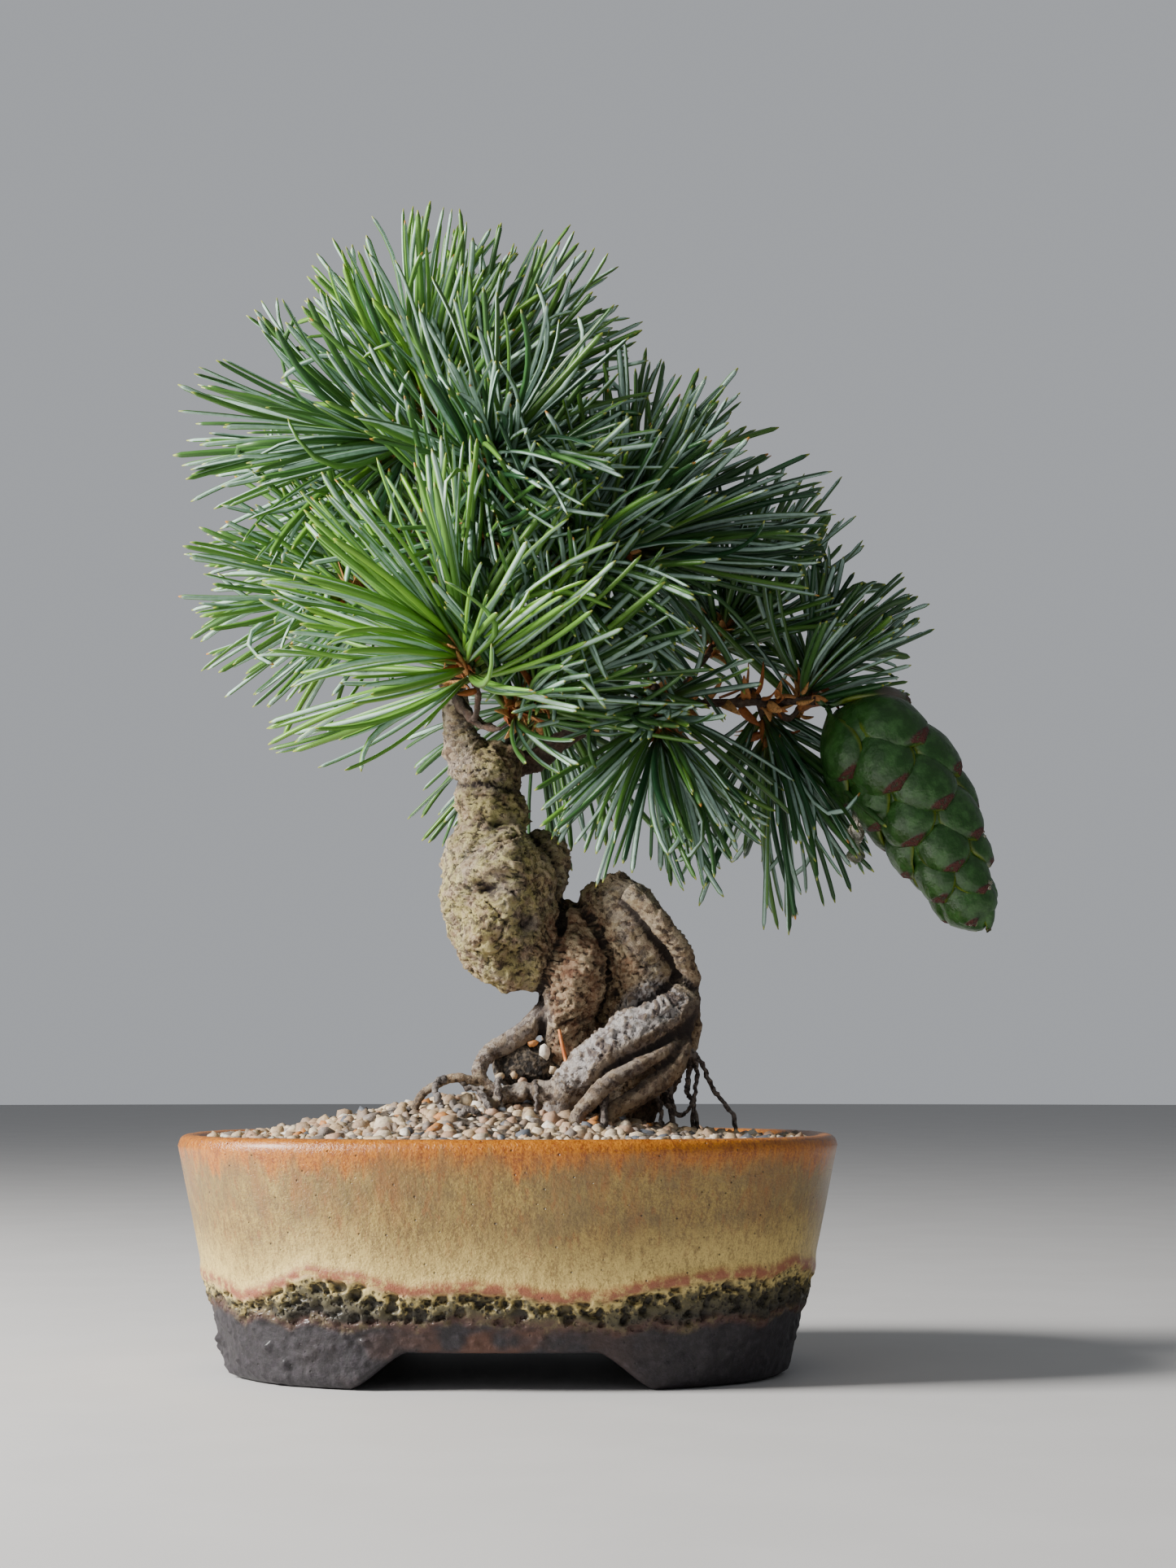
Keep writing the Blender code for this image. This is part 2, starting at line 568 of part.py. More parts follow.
def lengthened(route, growth):
    """A route with both ends run on by the growth."""
    if not growth:
        return route
    ends = []
    for tip, behind in ((route[0], route[1]), (route[-1], route[-2])):
        outward = (Vector(tip[:3]) - Vector(behind[:3])).normalized()
        ends.append((*(Vector(tip[:3]) + outward * growth), tip[3]))
    return [ends[0], *route, ends[1]]


def grown_solid(name, routes, growth, voxel, keep, finish):
    """One closed body round all the routes, thickened by growth."""
    unit_routes = [[(x, y, z, (radius + growth) / MM) for x, y, z, radius in lengthened(route, growth)]
                   for route in routes]
    piece = place(name, tube_mesh(name, unit_routes, MM, sides_level=3), finish)
    remesh = piece.modifiers.new("grow together", "REMESH")
    remesh.mode = "VOXEL"
    remesh.voxel_size = voxel
    remesh.use_smooth_shade = True
    thin = piece.modifiers.new("thin out", "DECIMATE")
    thin.ratio = keep
    return piece


def buried(route):
    """The stretch of a limb that is near the gravel or below it."""
    return [point for point in route if point[2] < POT_HEIGHT + MOUND_HEIGHT + 6 * MM]


def build_wood(paths):
    wood = grown_solid("wood", paths.values(), 0, BARK_VOXEL, BARK_KEEP, BARK)
    settle(wood)
    return wood


def root_cutter(paths):
    low = [buried(route) for route in paths.values()]
    routes = [route for route in low if len(route) > 1]
    cutter = grown_solid("root_cutter", routes, ROOT_GAP, CUTTER_VOXEL, CUTTER_KEEP, None)
    settle(cutter)
    return hidden(cutter)


# ---------------------------------------------------------- cone and resin


def cone_axis(share):
    """A point on the cone's bent middle line: it leaves the stalk sideways and hangs down."""
    start = Vector(above_rim(*BRANCHES["long_branch"][-1][:3]))
    start += Vector((0.8, -0.1, -0.6)).normalized() * (2.4 * MM + CONE_GAP)
    steps = 240
    point = start.copy()
    for step in range(int(round(share * steps))):
        slope = math.radians(-38 - 27 * min(1.0, 1.6 * step / steps))
        point += Vector((math.cos(slope), -0.05, math.sin(slope))) * CONE_LENGTH / steps
    return point


def cone_radius(share):
    """Half width along the cone: a quick shoulder, then a long taper."""
    shoulder = min(1.0, share / 0.2)
    rise = math.sqrt(max(0.0, 1 - (1 - shoulder) ** 2))
    taper = 1 - 0.68 * max(0.0, (share - 0.3) / 0.7) ** 1.7
    tip = math.sqrt(1 - (1 - min(1.0, (1 - share) / 0.1)) ** 2)
    return CONE_WIDTH / 2 * rise * taper * tip


def build_cone():
    """The body with rows of bulging scales, as a bent lathe shape."""
    bm = bmesh.new()
    rings = []
    shares = [0.008] + [0.02 + 0.976 * step / (CONE_RINGS - 1) for step in range(CONE_RINGS)]
    for share in shares:
        middle = cone_axis(share)
        ahead = (cone_axis(min(1.0, share + 0.08)) - cone_axis(max(0.0, share - 0.08))).normalized()
        side = ahead.cross(Vector((0, 1, 0))).normalized()
        front = ahead.cross(side)
        ring = []
        for step in range(CONE_SIDES):
            turn = 2 * math.pi * step / CONE_SIDES
            left_hand = math.cos(3 * turn + 22 * share)
            right_hand = math.cos(4 * turn - 26 * share)
            swell = 1 - CONE_BUMP + CONE_BUMP * abs(left_hand * right_hand) * 2
            offset = (side * math.cos(turn) + front * math.sin(turn)) * cone_radius(share) * min(1.0, swell)
            ring.append(bm.verts.new(middle + offset))
        rings.append(ring)
    skin(bm, rings)
    for ring in (rings[0], rings[-1]):
        bm.faces.new(ring)
    return new_object("cone", bm, CONE_GREEN)


def drip_half_width(share):
    """A thread, then two beads joined by a neck, from the top down."""
    upper = 0.75 * math.exp(-((share - 0.5) / 0.11) ** 2)
    lower = math.exp(-((share - 0.84) / 0.11) ** 2)
    return DRIP_RADIUS * min(1.0, DRIP_THREAD + upper + lower) * min(1.0, (1 - share) * 9, 0.5 + share * 6)


def build_resin_drip(cone):
    """Resin that hangs under the cone's inner side; its top stays just below the scales."""
    tree = BVHTree.FromObject(cone, bpy.context.evaluated_depsgraph_get())
    middle = cone_axis(DRIP_ALONG_CONE)
    below = middle + Vector((-0.75 * cone_radius(DRIP_ALONG_CONE), -4 * MM, -CONE_LENGTH))
    thread = Vector((DRIP_RADIUS * DRIP_THREAD, 0, 0))
    hits = [tree.ray_cast(below + aside, Vector((0, 0, 1)))[0] for aside in (-thread, 0 * thread, thread)]
    top = min(hit.z for hit in hits) - DRIP_GAP
    bm = bmesh.new()
    rings = []
    steps = 12
    for step in range(steps + 1):
        share = 0.01 + 0.98 * step / steps
        radius = drip_half_width(share)
        z = top - DRIP_LENGTH * share
        ring = []
        for side in range(BUD_SIDES):
            turn = 2 * math.pi * side / BUD_SIDES
            x = below.x + radius * math.cos(turn)
            y = below.y + radius * math.sin(turn)
            ring.append(bm.verts.new((x, y, z)))
        rings.append(ring)
    skin(bm, rings)
    for ring in (rings[0], rings[-1]):
        bm.faces.new(ring)
    return new_object("resin_drip", bm, RESIN)


# ----------------------------------------------------------------- foliage


def bud_collar_distance():
    """How far behind a tuft's heart its bud scales sit."""
    return HEART_RADIUS + bud_reach() + TWIG_END_GAP


def bud_reach():
    """Radius of the ball that holds one collar of bud scales."""
    outer = TWIG_TIP_RADIUS + SCALE_GAP + BUD_WALL
    return math.hypot(outer, BUD_LENGTH / 2)


def build_bud_scales(name):
    """A short collar round the twig, where the papery scales sit."""
    heart, aim = shoot_heart(name)
    middle = heart - aim * bud_collar_distance()
    side = aim.orthogonal().normalized()
    front = aim.cross(side)
    inner = TWIG_TIP_RADIUS + SCALE_GAP
    outer = inner + BUD_WALL
    bm = bmesh.new()
    rings = []
    lip = inner + 0.4 * BUD_WALL
    for radius, along in ((inner, -0.5), (outer, -0.5), (outer, 0.2), (lip, 0.5), (inner, 0.5)):
        ring = []
        for step in range(BUD_SIDES):
            turn = 2 * math.pi * step / BUD_SIDES
            offset = (side * math.cos(turn) + front * math.sin(turn)) * radius
            ring.append(bm.verts.new(middle + aim * along * BUD_LENGTH + offset))
        rings.append(ring)
    skin(bm, [*rings, rings[0]])
    new_object("bud_scales_" + name, bm, PAPERY_BROWN)


def obstacles(paths):
    """Balls that the needles keep clear of: the bark, the bud scales and the cone."""
    balls = []
    for route in paths.values():
        for x, y, z, radius in route:
            balls.append((Vector((x, y, z)), radius + BARK_MARGIN))
    for name in SHOOTS_WITH_BUD_SCALES:
        heart, aim = shoot_heart(name)
        balls.append((heart - aim * bud_collar_distance(), bud_reach()))
    for step in range(13):
        share = step / 12
        balls.append((cone_axis(share), cone_radius(share) + NEEDLE_GAP))
    return balls


def cell_walls(name, balls):
    """Planes round a tuft's heart: half way to each other tuft, and short of each ball."""
    heart, _ = shoot_heart(name)
    walls = []
    for other in SHOOTS:
        if other != name:
            apart = shoot_heart(other)[0] - heart
            walls.append((apart.normalized(), apart.length / 2 - NEEDLE_GAP / 2))
    for centre, radius in balls:
        apart = centre - heart
        walls.append((apart.normalized(), apart.length - radius - NEEDLE_GAP))
    return [wall for wall in walls if wall[1] < 1.3 * NEEDLE_LENGTH]


def reach_in(walls, direction):
    """How far a straight line from the heart runs before it meets a wall."""
    reach = 2 * NEEDLE_LENGTH
    for normal, distance in walls:
        facing = normal.dot(direction)
        if facing > 0.001:
            reach = min(reach, distance / facing)
    return reach


def build_needles(name, balls):
    """A tuft: a small heart whose faces are drawn out into spikes, inside its own cell."""
    heart, aim = shoot_heart(name)
    chance = random.Random(SEED + len(name))
    walls = cell_walls(name, balls)
    nearest = min(distance for _, distance in walls)
    radius = min(HEART_RADIUS, 0.97 * nearest)
    bm = bmesh.new()
    bmesh.ops.create_icosphere(bm, subdivisions=2, radius=radius)
    forward = [face for face in bm.faces if face.calc_center_median().normalized().dot(aim) > -0.35]
    spikes = bmesh.ops.poke(bm, faces=forward)["verts"]
    for tip in spikes:
        direction = tip.co.normalized()
        length = SHOOTS[name][2] * NEEDLE_LENGTH * (1 - NEEDLE_VARIATION * chance.random())
        tip.co = direction * max(radius, min(length, reach_in(walls, direction)))
    bmesh.ops.translate(bm, verts=bm.verts[:], vec=heart)
    new_object("needles_" + name, bm, NEEDLE_GREEN)


# ------------------------------------------------------------ the whole part


def centre_on_origin():
    """Stand the part on z = 0 with the middle of its box over the origin."""
    bpy.context.view_layer.update()
    shown = [piece for piece in bpy.data.objects if not piece.hide_render]
    corners = [piece.matrix_world @ vert.co for piece in shown for vert in piece.data.vertices]
    middle_x = (min(c.x for c in corners) + max(c.x for c in corners)) / 2
    middle_y = (min(c.y for c in corners) + max(c.y for c in corners)) / 2
    lowest = min(c.z for c in corners)
    for piece in bpy.data.objects:
        piece.location -= Vector((middle_x, middle_y, lowest))
    bpy.context.view_layer.update()


def main():
    empty_scene()
    build_pot()
    build_drain_mesh("drain_mesh_left", -1)
    build_drain_mesh("drain_mesh_right", 1)
    place("anchor_wire", tube_mesh("anchor_wire", [wire_route()], WIRE_RADIUS, cyclic=True), BLACK_PLASTIC)
    wire_channel = place("wire_channel", tube_mesh("wire_channel", [wire_route()], WIRE_RADIUS + WIRE_GAP,
                                                   cyclic=True), None)
    paths = limbs()
    build_wood(paths)
    roots = root_cutter(paths)
    build_soil(wire_channel, roots)
    build_top_dressing(roots)
    build_resin_drip(build_cone())
    balls = obstacles(paths)
    for name in SHOOTS:
        build_needles(name, balls)
    for name in SHOOTS_WITH_BUD_SCALES:
        build_bud_scales(name)
    centre_on_origin()


main()
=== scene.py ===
"""A small white pine in a glazed oval pot: its looks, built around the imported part.

Shapes are worked out in millimetres from the pot's upright axis and its foot, and put in
the frame's place and metres when each mesh is finished.
"""

import logging
import math
from dataclasses import dataclass
from enum import Enum

import bmesh
import bpy
import numpy as np
from mathutils import Matrix, Vector, kdtree

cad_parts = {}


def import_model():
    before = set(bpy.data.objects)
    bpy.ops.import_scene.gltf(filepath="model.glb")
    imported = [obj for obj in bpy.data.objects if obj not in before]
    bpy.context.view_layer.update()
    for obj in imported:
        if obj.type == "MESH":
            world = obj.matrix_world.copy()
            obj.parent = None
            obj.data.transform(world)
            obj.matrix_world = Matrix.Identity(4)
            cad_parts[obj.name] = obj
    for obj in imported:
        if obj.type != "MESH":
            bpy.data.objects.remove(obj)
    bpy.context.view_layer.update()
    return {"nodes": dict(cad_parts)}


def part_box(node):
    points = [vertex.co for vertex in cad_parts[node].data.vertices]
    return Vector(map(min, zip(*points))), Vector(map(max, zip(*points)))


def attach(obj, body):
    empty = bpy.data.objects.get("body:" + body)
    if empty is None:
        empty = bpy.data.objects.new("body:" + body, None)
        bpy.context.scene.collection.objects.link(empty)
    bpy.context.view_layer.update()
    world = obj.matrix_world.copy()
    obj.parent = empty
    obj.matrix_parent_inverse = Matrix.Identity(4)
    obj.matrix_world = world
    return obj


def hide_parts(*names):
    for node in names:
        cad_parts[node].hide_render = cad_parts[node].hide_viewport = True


LOG = logging.getLogger("pine")
MM = 0.001
GOLDEN_TURN = math.radians(137.508)
Colour = tuple[float, float, float]
Limb = list[tuple[float, float, float, float]]


# ------------------------------------------------------------------ tools


@dataclass(frozen=True)
class Datum:
    """The pot's upright axis in the frame, from which every millimetre size is taken."""

    x: float
    y: float
    rim: float

    @classmethod
    def of_pot(cls) -> "Datum":
        """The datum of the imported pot: the middle of its box and the height of its rim."""
        low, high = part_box("pot")
        return cls((low.x + high.x) / 2, (low.y + high.y) / 2, high.z / MM)

    def to_frame(self, places: np.ndarray) -> np.ndarray:
        """Millimetre places from the axis and the foot, as metres in the frame."""
        return places * MM + np.array([self.x, self.y, 0.0])

    def above_rim(self, places: np.ndarray) -> np.ndarray:
        """Millimetre places with the rim as their zero height, with the foot as zero instead."""
        return np.asarray(places, float) + np.array([0.0, 0.0, self.rim])


class Pattern:
    """Smooth noise and cells in space, the same on every run. Sizes are in millimetres."""

    @staticmethod
    def lottery(cells: np.ndarray, seed: int) -> np.ndarray:
        """One even draw from 0 to 1 for each whole-number cell.

        Args:
            cells: whole numbers, with three in the last axis.
            seed: picks one of many unlike draws.

        Returns:
            The draws, without the last axis.
        """
        parts = cells.astype(np.int64).astype(np.uint64)
        mixed = parts[..., 0] * np.uint64(0x9E3779B97F4A7C15) + parts[..., 1] * np.uint64(0xC2B2AE3D27D4EB4F)
        mixed = mixed + parts[..., 2] * np.uint64(0x165667B19E3779F9) + np.uint64(seed * 7919 + 13)
        for shift, factor in ((30, 0xBF58476D1CE4E5B9), (27, 0x94D049BB133111EB)):
            mixed = (mixed ^ (mixed >> np.uint64(shift))) * np.uint64(factor)
        mixed = mixed ^ (mixed >> np.uint64(31))
        return (mixed >> np.uint64(40)).astype(float) / float(1 << 24)

    @classmethod
    def smooth(cls, places: np.ndarray, size: float, seed: int = 0) -> np.ndarray:
        """Soft hills and hollows from -1 to 1, about size apart."""
        scaled = places / size
        corner = np.floor(scaled)
        share = scaled - corner
        share = share * share * (3 - 2 * share)
        total = np.zeros(len(places))
        for step in range(8):
            offset = np.array([step & 1, step >> 1 & 1, step >> 2 & 1])
            weight = np.prod(np.where(offset, share, 1 - share), axis=1)
            total += weight * cls.lottery(corner + offset, seed)
        return 2 * total - 1

    @classmethod
    def fractal(cls, places: np.ndarray, size: float, layers: int = 3, seed: int = 0) -> np.ndarray:
        """Layers of smooth noise, each half as large and half as strong as the last."""
        total = np.zeros(len(places))
        for layer in range(layers):
            total += 0.5 ** layer * cls.smooth(places, size * 0.5 ** layer, seed + 31 * layer)
        return total / (2 - 0.5 ** (layers - 1))

    @classmethod
    def cells(cls, places: np.ndarray, size: float,
              seed: int = 0) -> tuple[np.ndarray, np.ndarray, np.ndarray]:
        """Cells round scattered points.

        Args:
            places: the points to look up.
            size: how far apart the cells' middles are.
            seed: picks one of many unlike layouts.

        Returns:
            The distance to the nearest middle and to the next one, in cell sizes, and the
            nearest cell's own draw.
        """
        scaled = places / size
        corner = np.floor(scaled)
        first = np.full(len(places), 9.0)
        second = np.full(len(places), 9.0)
        draw = np.zeros(len(places))
        for step in range(27):
            cell = corner + np.array([step % 3 - 1, step // 3 % 3 - 1, step // 9 - 1])
            middle = cell + np.stack([cls.lottery(cell, seed + axis) for axis in (1, 2, 3)], axis=1)
            away = np.linalg.norm(scaled - middle, axis=1)
            nearer = away < first
            second = np.where(nearer, first, np.minimum(second, away))
            draw = np.where(nearer, cls.lottery(cell, seed + 4), draw)
            first = np.where(nearer, away, first)
        return first, second, draw


def ease(values: np.ndarray, low: float, high: float) -> np.ndarray:
    """0 up to low, 1 from high, and a smooth rise between."""
    share = np.clip((values - low) / (high - low), 0, 1)
    return share * share * (3 - 2 * share)


def unit(vectors: np.ndarray) -> np.ndarray:
    """Each vector of the last axis at a length of one."""
    return vectors / np.maximum(np.linalg.norm(vectors, axis=-1, keepdims=True), 1e-9)


def smooth_route(points: Limb, steps: int = 6) -> np.ndarray:
    """A smooth curve through a limb's points, its radius included.

    Args:
        points: the limb's (x, y, height, radius) points.
        steps: how many places the curve gets for each stretch between two points.

    Returns:
        The places on the curve with their radii, one per row.
    """
    table = np.array([points[0], *points, points[-1]], float)
    share = (np.arange(steps) / steps)[:, None]
    rows = []
    for before, start, finish, after in zip(table, table[1:], table[2:], table[3:]):
        rows.append(0.5 * (2 * start + (finish - before) * share
                           + (2 * before - 5 * start + 4 * finish - after) * share ** 2
                           + (3 * start - before - 3 * finish + after) * share ** 3))
    return np.vstack([*rows, table[-1:]])


def coordinates(mesh: bpy.types.Mesh) -> np.ndarray:
    """A mesh's vertex places, one per row."""
    flat = np.empty(len(mesh.vertices) * 3, np.float32)
    mesh.vertices.foreach_get("co", flat)
    return flat.reshape(-1, 3).astype(float)


def normals(mesh: bpy.types.Mesh) -> np.ndarray:
    """A mesh's outward direction at each vertex."""
    flat = np.empty(len(mesh.vertices) * 3, np.float32)
    mesh.vertex_normals.foreach_get("vector", flat)
    return flat.reshape(-1, 3).astype(float)


def move_vertices(mesh: bpy.types.Mesh, places: np.ndarray) -> None:
    """Puts each vertex of a mesh at its row of places."""
    mesh.vertices.foreach_set("co", np.ascontiguousarray(places, np.float32).ravel())
    mesh.update()


def note(mesh: bpy.types.Mesh, name: str, values: np.ndarray) -> None:
    """Keeps one number per vertex as a named attribute for the finish to read."""
    attribute = mesh.attributes.get(name) or mesh.attributes.new(name, "FLOAT", "POINT")
    attribute.data.foreach_set("value", np.ascontiguousarray(values, np.float32))


def ends_of_edges(mesh: bpy.types.Mesh) -> np.ndarray:
    """The two vertex numbers of each edge."""
    flat = np.empty(len(mesh.edges) * 2, np.int32)
    mesh.edges.foreach_get("vertices", flat)
    return flat.reshape(-1, 2)


def neighbour_mean(values: np.ndarray, edges: np.ndarray) -> np.ndarray:
    """The mean of each vertex's neighbours, for one number or one row per vertex."""
    count = len(values)
    degree = np.bincount(edges.ravel(), minlength=count)
    table = values.reshape(count, -1)
    total = np.stack([np.bincount(edges[:, 0], column[edges[:, 1]], count)
                      + np.bincount(edges[:, 1], column[edges[:, 0]], count) for column in table.T], axis=1)
    return (total / np.maximum(degree, 1)[:, None]).reshape(values.shape)


def spread(values: np.ndarray, edges: np.ndarray, rounds: int) -> np.ndarray:
    """Values blurred over a mesh, a ring of neighbours further with each round."""
    for _ in range(rounds):
        values = (values + neighbour_mean(values, edges)) / 2
    return values


def hollowness(mesh: bpy.types.Mesh, rounds: int, full: float) -> np.ndarray:
    """How deep each vertex lies below its surroundings.

    Args:
        mesh: the mesh, in millimetres.
        rounds: how wide the surroundings are, in rings of neighbours.
        full: the depth in millimetres that counts as 1.

    Returns:
        A number per vertex: above 0 in a hollow, below 0 on a ridge, from -1 to 1.
    """
    places = coordinates(mesh)
    around = spread(places, ends_of_edges(mesh), rounds)
    return np.clip(np.sum((around - places) * normals(mesh), axis=1) / full, -1, 1)


def mesh_from(bm: bmesh.types.BMesh, name: str) -> bpy.types.Mesh:
    """A smooth-shaded mesh from a bmesh, which is freed."""
    mesh = bpy.data.meshes.new(name)
    bm.to_mesh(mesh)
    bm.free()
    mesh.shade_smooth()
    return mesh


def baked(mesh: bpy.types.Mesh, kind: str, **settings: object) -> bpy.types.Mesh:
    """A mesh with one modifier applied to it.

    Args:
        mesh: the mesh to change; it is removed.
        kind: the modifier's type.
        settings: the modifier's settings.

    Returns:
        The new mesh.
    """
    holder = bpy.data.objects.new(mesh.name, mesh)
    bpy.context.collection.objects.link(holder)
    modifier = holder.modifiers.new(kind.title(), kind)
    for key, value in settings.items():
        setattr(modifier, key, value)
    graph = bpy.context.evaluated_depsgraph_get()
    made = bpy.data.meshes.new_from_object(holder.evaluated_get(graph))
    bpy.data.objects.remove(holder, do_unlink=True)
    bpy.data.meshes.remove(mesh)
    made.shade_smooth()
    return made


def tubes(name: str, routes: list[np.ndarray], sides: int = 3) -> bpy.types.Mesh:
    """Round tubes along routes of places and radii, as one mesh in the routes' unit.

    Args:
        name: what the mesh is called.
        routes: rows of x, y, z and radius.
        sides: the curve's bevel resolution; 3 gives eight-sided tubes.

    Returns:
        The mesh, its ends capped.
    """
    curve = bpy.data.curves.new(name, "CURVE")
    curve.dimensions = "3D"
    curve.bevel_depth = 1.0
    curve.bevel_resolution = sides
    curve.use_fill_caps = True
    for route in routes:
        spline = curve.splines.new("POLY")
        spline.points.add(len(route) - 1)
        for point, (x, y, z, radius) in zip(spline.points, route):
            point.co = (x, y, z, 1)
            point.radius = radius
    guide = bpy.data.objects.new(name, curve)
    bpy.context.collection.objects.link(guide)
    mesh = bpy.data.meshes.new_from_object(guide.evaluated_get(bpy.context.evaluated_depsgraph_get()))
    bpy.data.objects.remove(guide, do_unlink=True)
    return mesh


def copies(template: bpy.types.Mesh, count: int) -> bpy.types.Mesh:
    """A mesh of count copies of a template, one after another in its vertex order."""
    bm = bmesh.new()
    for _ in range(count):
        bm.from_mesh(template)
    return mesh_from(bm, template.name)


def piece(name: str, mesh: bpy.types.Mesh, finish: bpy.types.Material,
          stands_for: tuple[str, ...] = ()) -> bpy.types.Object:
    """Puts a finished mesh on the object.

    Args:
        name: the piece's name.
        mesh: its mesh, in the frame's place and metres.
        finish: its material.
        stands_for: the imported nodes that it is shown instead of.

    Returns:
        The piece.
    """
    mesh.name = name
    mesh.materials.clear()
    mesh.materials.append(finish)
    made = bpy.data.objects.new(name, mesh)
    bpy.context.collection.objects.link(made)
    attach(made, "root")
    if stands_for:
        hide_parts(*stands_for)
    LOG.info("%s: %d triangles", name, sum(len(face.vertices) - 2 for face in mesh.polygons))
    return made


# --------------------------------------------------------------- finishes


class Recipe:
    """A material's nodes, added one at a time from plain calls."""

    def __init__(self, name: str, roughness: float = 0.6) -> None:
        """Starts a material with one Principled shader."""
        self.material = bpy.data.materials.new(name)
        self.material.use_nodes = True
        self.tree = self.material.node_tree
        self.shader = self.tree.nodes["Principled BSDF"]
        self.shader.inputs["Roughness"].default_value = roughness

    def node(self, kind: str, **settings: object) -> bpy.types.Node:
        """Adds a node and sets its properties."""
        made = self.tree.nodes.new(kind)
        for key, value in settings.items():
            setattr(made, key, value)
        return made

    def feed(self, socket: bpy.types.NodeSocket, value: object) -> None:
        """Links a socket to another's output, or sets its own value."""
        if isinstance(value, bpy.types.NodeSocket):
            self.tree.links.new(value, socket)
        elif isinstance(value, tuple) and len(socket.default_value) == 4:
            socket.default_value = (*value, 1.0)
        else:
            socket.default_value = value

    def place(self, stretch: tuple[float, float, float] = (1, 1, 1)) -> bpy.types.NodeSocket:
        """Object coordinates, stretched along the axes."""
        mapping = self.node("ShaderNodeMapping")
        self.feed(mapping.inputs["Vector"], self.node("ShaderNodeTexCoord").outputs["Object"])
        mapping.inputs["Scale"].default_value = stretch
        return mapping.outputs["Vector"]

    def grain(self, size: float, detail: float = 3.0, stretch: tuple[float, float, float] = (1, 1, 1),
              rough: float = 0.55) -> bpy.types.NodeSocket:
        """Noise with features about size millimetres across."""
        made = self.node("ShaderNodeTexNoise")
        self.feed(made.inputs["Vector"], self.place(stretch))
        made.inputs["Scale"].default_value = 1 / (size * MM)
        made.inputs["Detail"].default_value = detail
        made.inputs["Roughness"].default_value = rough
        return made.outputs["Fac"]

    def specks(self, size: float) -> bpy.types.NodeSocket:
        """Distance to the nearest of scattered points about size millimetres apart."""
        made = self.node("ShaderNodeTexVoronoi")
        self.feed(made.inputs["Vector"], self.place())
        made.inputs["Scale"].default_value = 1 / (size * MM)
        return made.outputs["Distance"]

    def chips(self, size: float, flatten: float = 1.0) -> bpy.types.NodeSocket:
        """An even draw from 0 to 1 for each of many ragged chips.

        Args:
            size: how wide the chips are, in millimetres.
            flatten: above 1, the chips are that much wider than tall.

        Returns:
            The draw.
        """
        noise = self.node("ShaderNodeTexNoise")
        self.feed(noise.inputs["Vector"], self.place())
        noise.inputs["Scale"].default_value = 1.4 / (size * MM)
        noise.inputs["Detail"].default_value = 3.0
        push = self.node("ShaderNodeVectorMath", operation="SCALE")
        self.feed(push.inputs[0], noise.outputs["Color"])
        push.inputs["Scale"].default_value = 1.3 * size * MM
        moved = self.node("ShaderNodeVectorMath", operation="ADD")
        self.feed(moved.inputs[0], self.place((1, 1, flatten)))
        self.feed(moved.inputs[1], push.outputs["Vector"])
        cells = self.node("ShaderNodeTexVoronoi")
        self.feed(cells.inputs["Vector"], moved.outputs["Vector"])
        cells.inputs["Scale"].default_value = 1 / (size * MM)
        parts = self.node("ShaderNodeSeparateColor")
        self.feed(parts.inputs["Color"], cells.outputs["Color"])
        return parts.outputs["Red"]

    def noted(self, name: str) -> bpy.types.NodeSocket:
        """A number kept on the mesh by note()."""
        return self.node("ShaderNodeAttribute", attribute_name=name).outputs["Fac"]

    def rise(self, value: bpy.types.NodeSocket, low: float, high: float,
             start: float = 0.0, end: float = 1.0) -> bpy.types.NodeSocket:
        """start up to low, end from high, and a smooth change between."""
        made = self.node("ShaderNodeMapRange", interpolation_type="SMOOTHSTEP")
        self.feed(made.inputs["Value"], value)
        for key, number in (("From Min", low), ("From Max", high), ("To Min", start), ("To Max", end)):
            made.inputs[key].default_value = number
        return made.outputs["Result"]

    def sum(self, kind: str, first: object, second: object) -> bpy.types.NodeSocket:
        """Two numbers joined by a kind of arithmetic, such as ADD or MULTIPLY."""
        made = self.node("ShaderNodeMath", operation=kind)
        self.feed(made.inputs[0], first)
        self.feed(made.inputs[1], second)
        return made.outputs["Value"]

    def blend(self, share: object, first: object, second: object) -> bpy.types.NodeSocket:
        """Two colours mixed by a share from 0 to 1."""
        made = self.node("ShaderNodeMix", data_type="RGBA", blend_type="MIX")
        self.feed(made.inputs[0], share)
        self.feed(made.inputs[6], first)
        self.feed(made.inputs[7], second)
        return made.outputs[2]

    def relief(self, height: bpy.types.NodeSocket, depth: float) -> None:
        """Bump on the shader, depth millimetres deep."""
        made = self.node("ShaderNodeBump")
        made.inputs["Distance"].default_value = depth * MM
        self.feed(made.inputs["Height"], height)
        self.feed(self.shader.inputs["Normal"], made.outputs["Normal"])

    def finished(self, colour: object, roughness: object = None, **sockets: object) -> bpy.types.Material:
        """Sets the shader's colour, roughness and any other sockets by name.

        Args:
            colour: a colour or a colour socket.
            roughness: a number or a socket, or None to keep the one set at the start.
            sockets: other values, with underscores for the spaces in the sockets' names.

        Returns:
            The material.
        """
        self.feed(self.shader.inputs["Base Color"], colour)
        if roughness is not None:
            self.feed(self.shader.inputs["Roughness"], roughness)
        for key, value in sockets.items():
            self.feed(self.shader.inputs[key.replace("_", " ")], value)
        return self.material


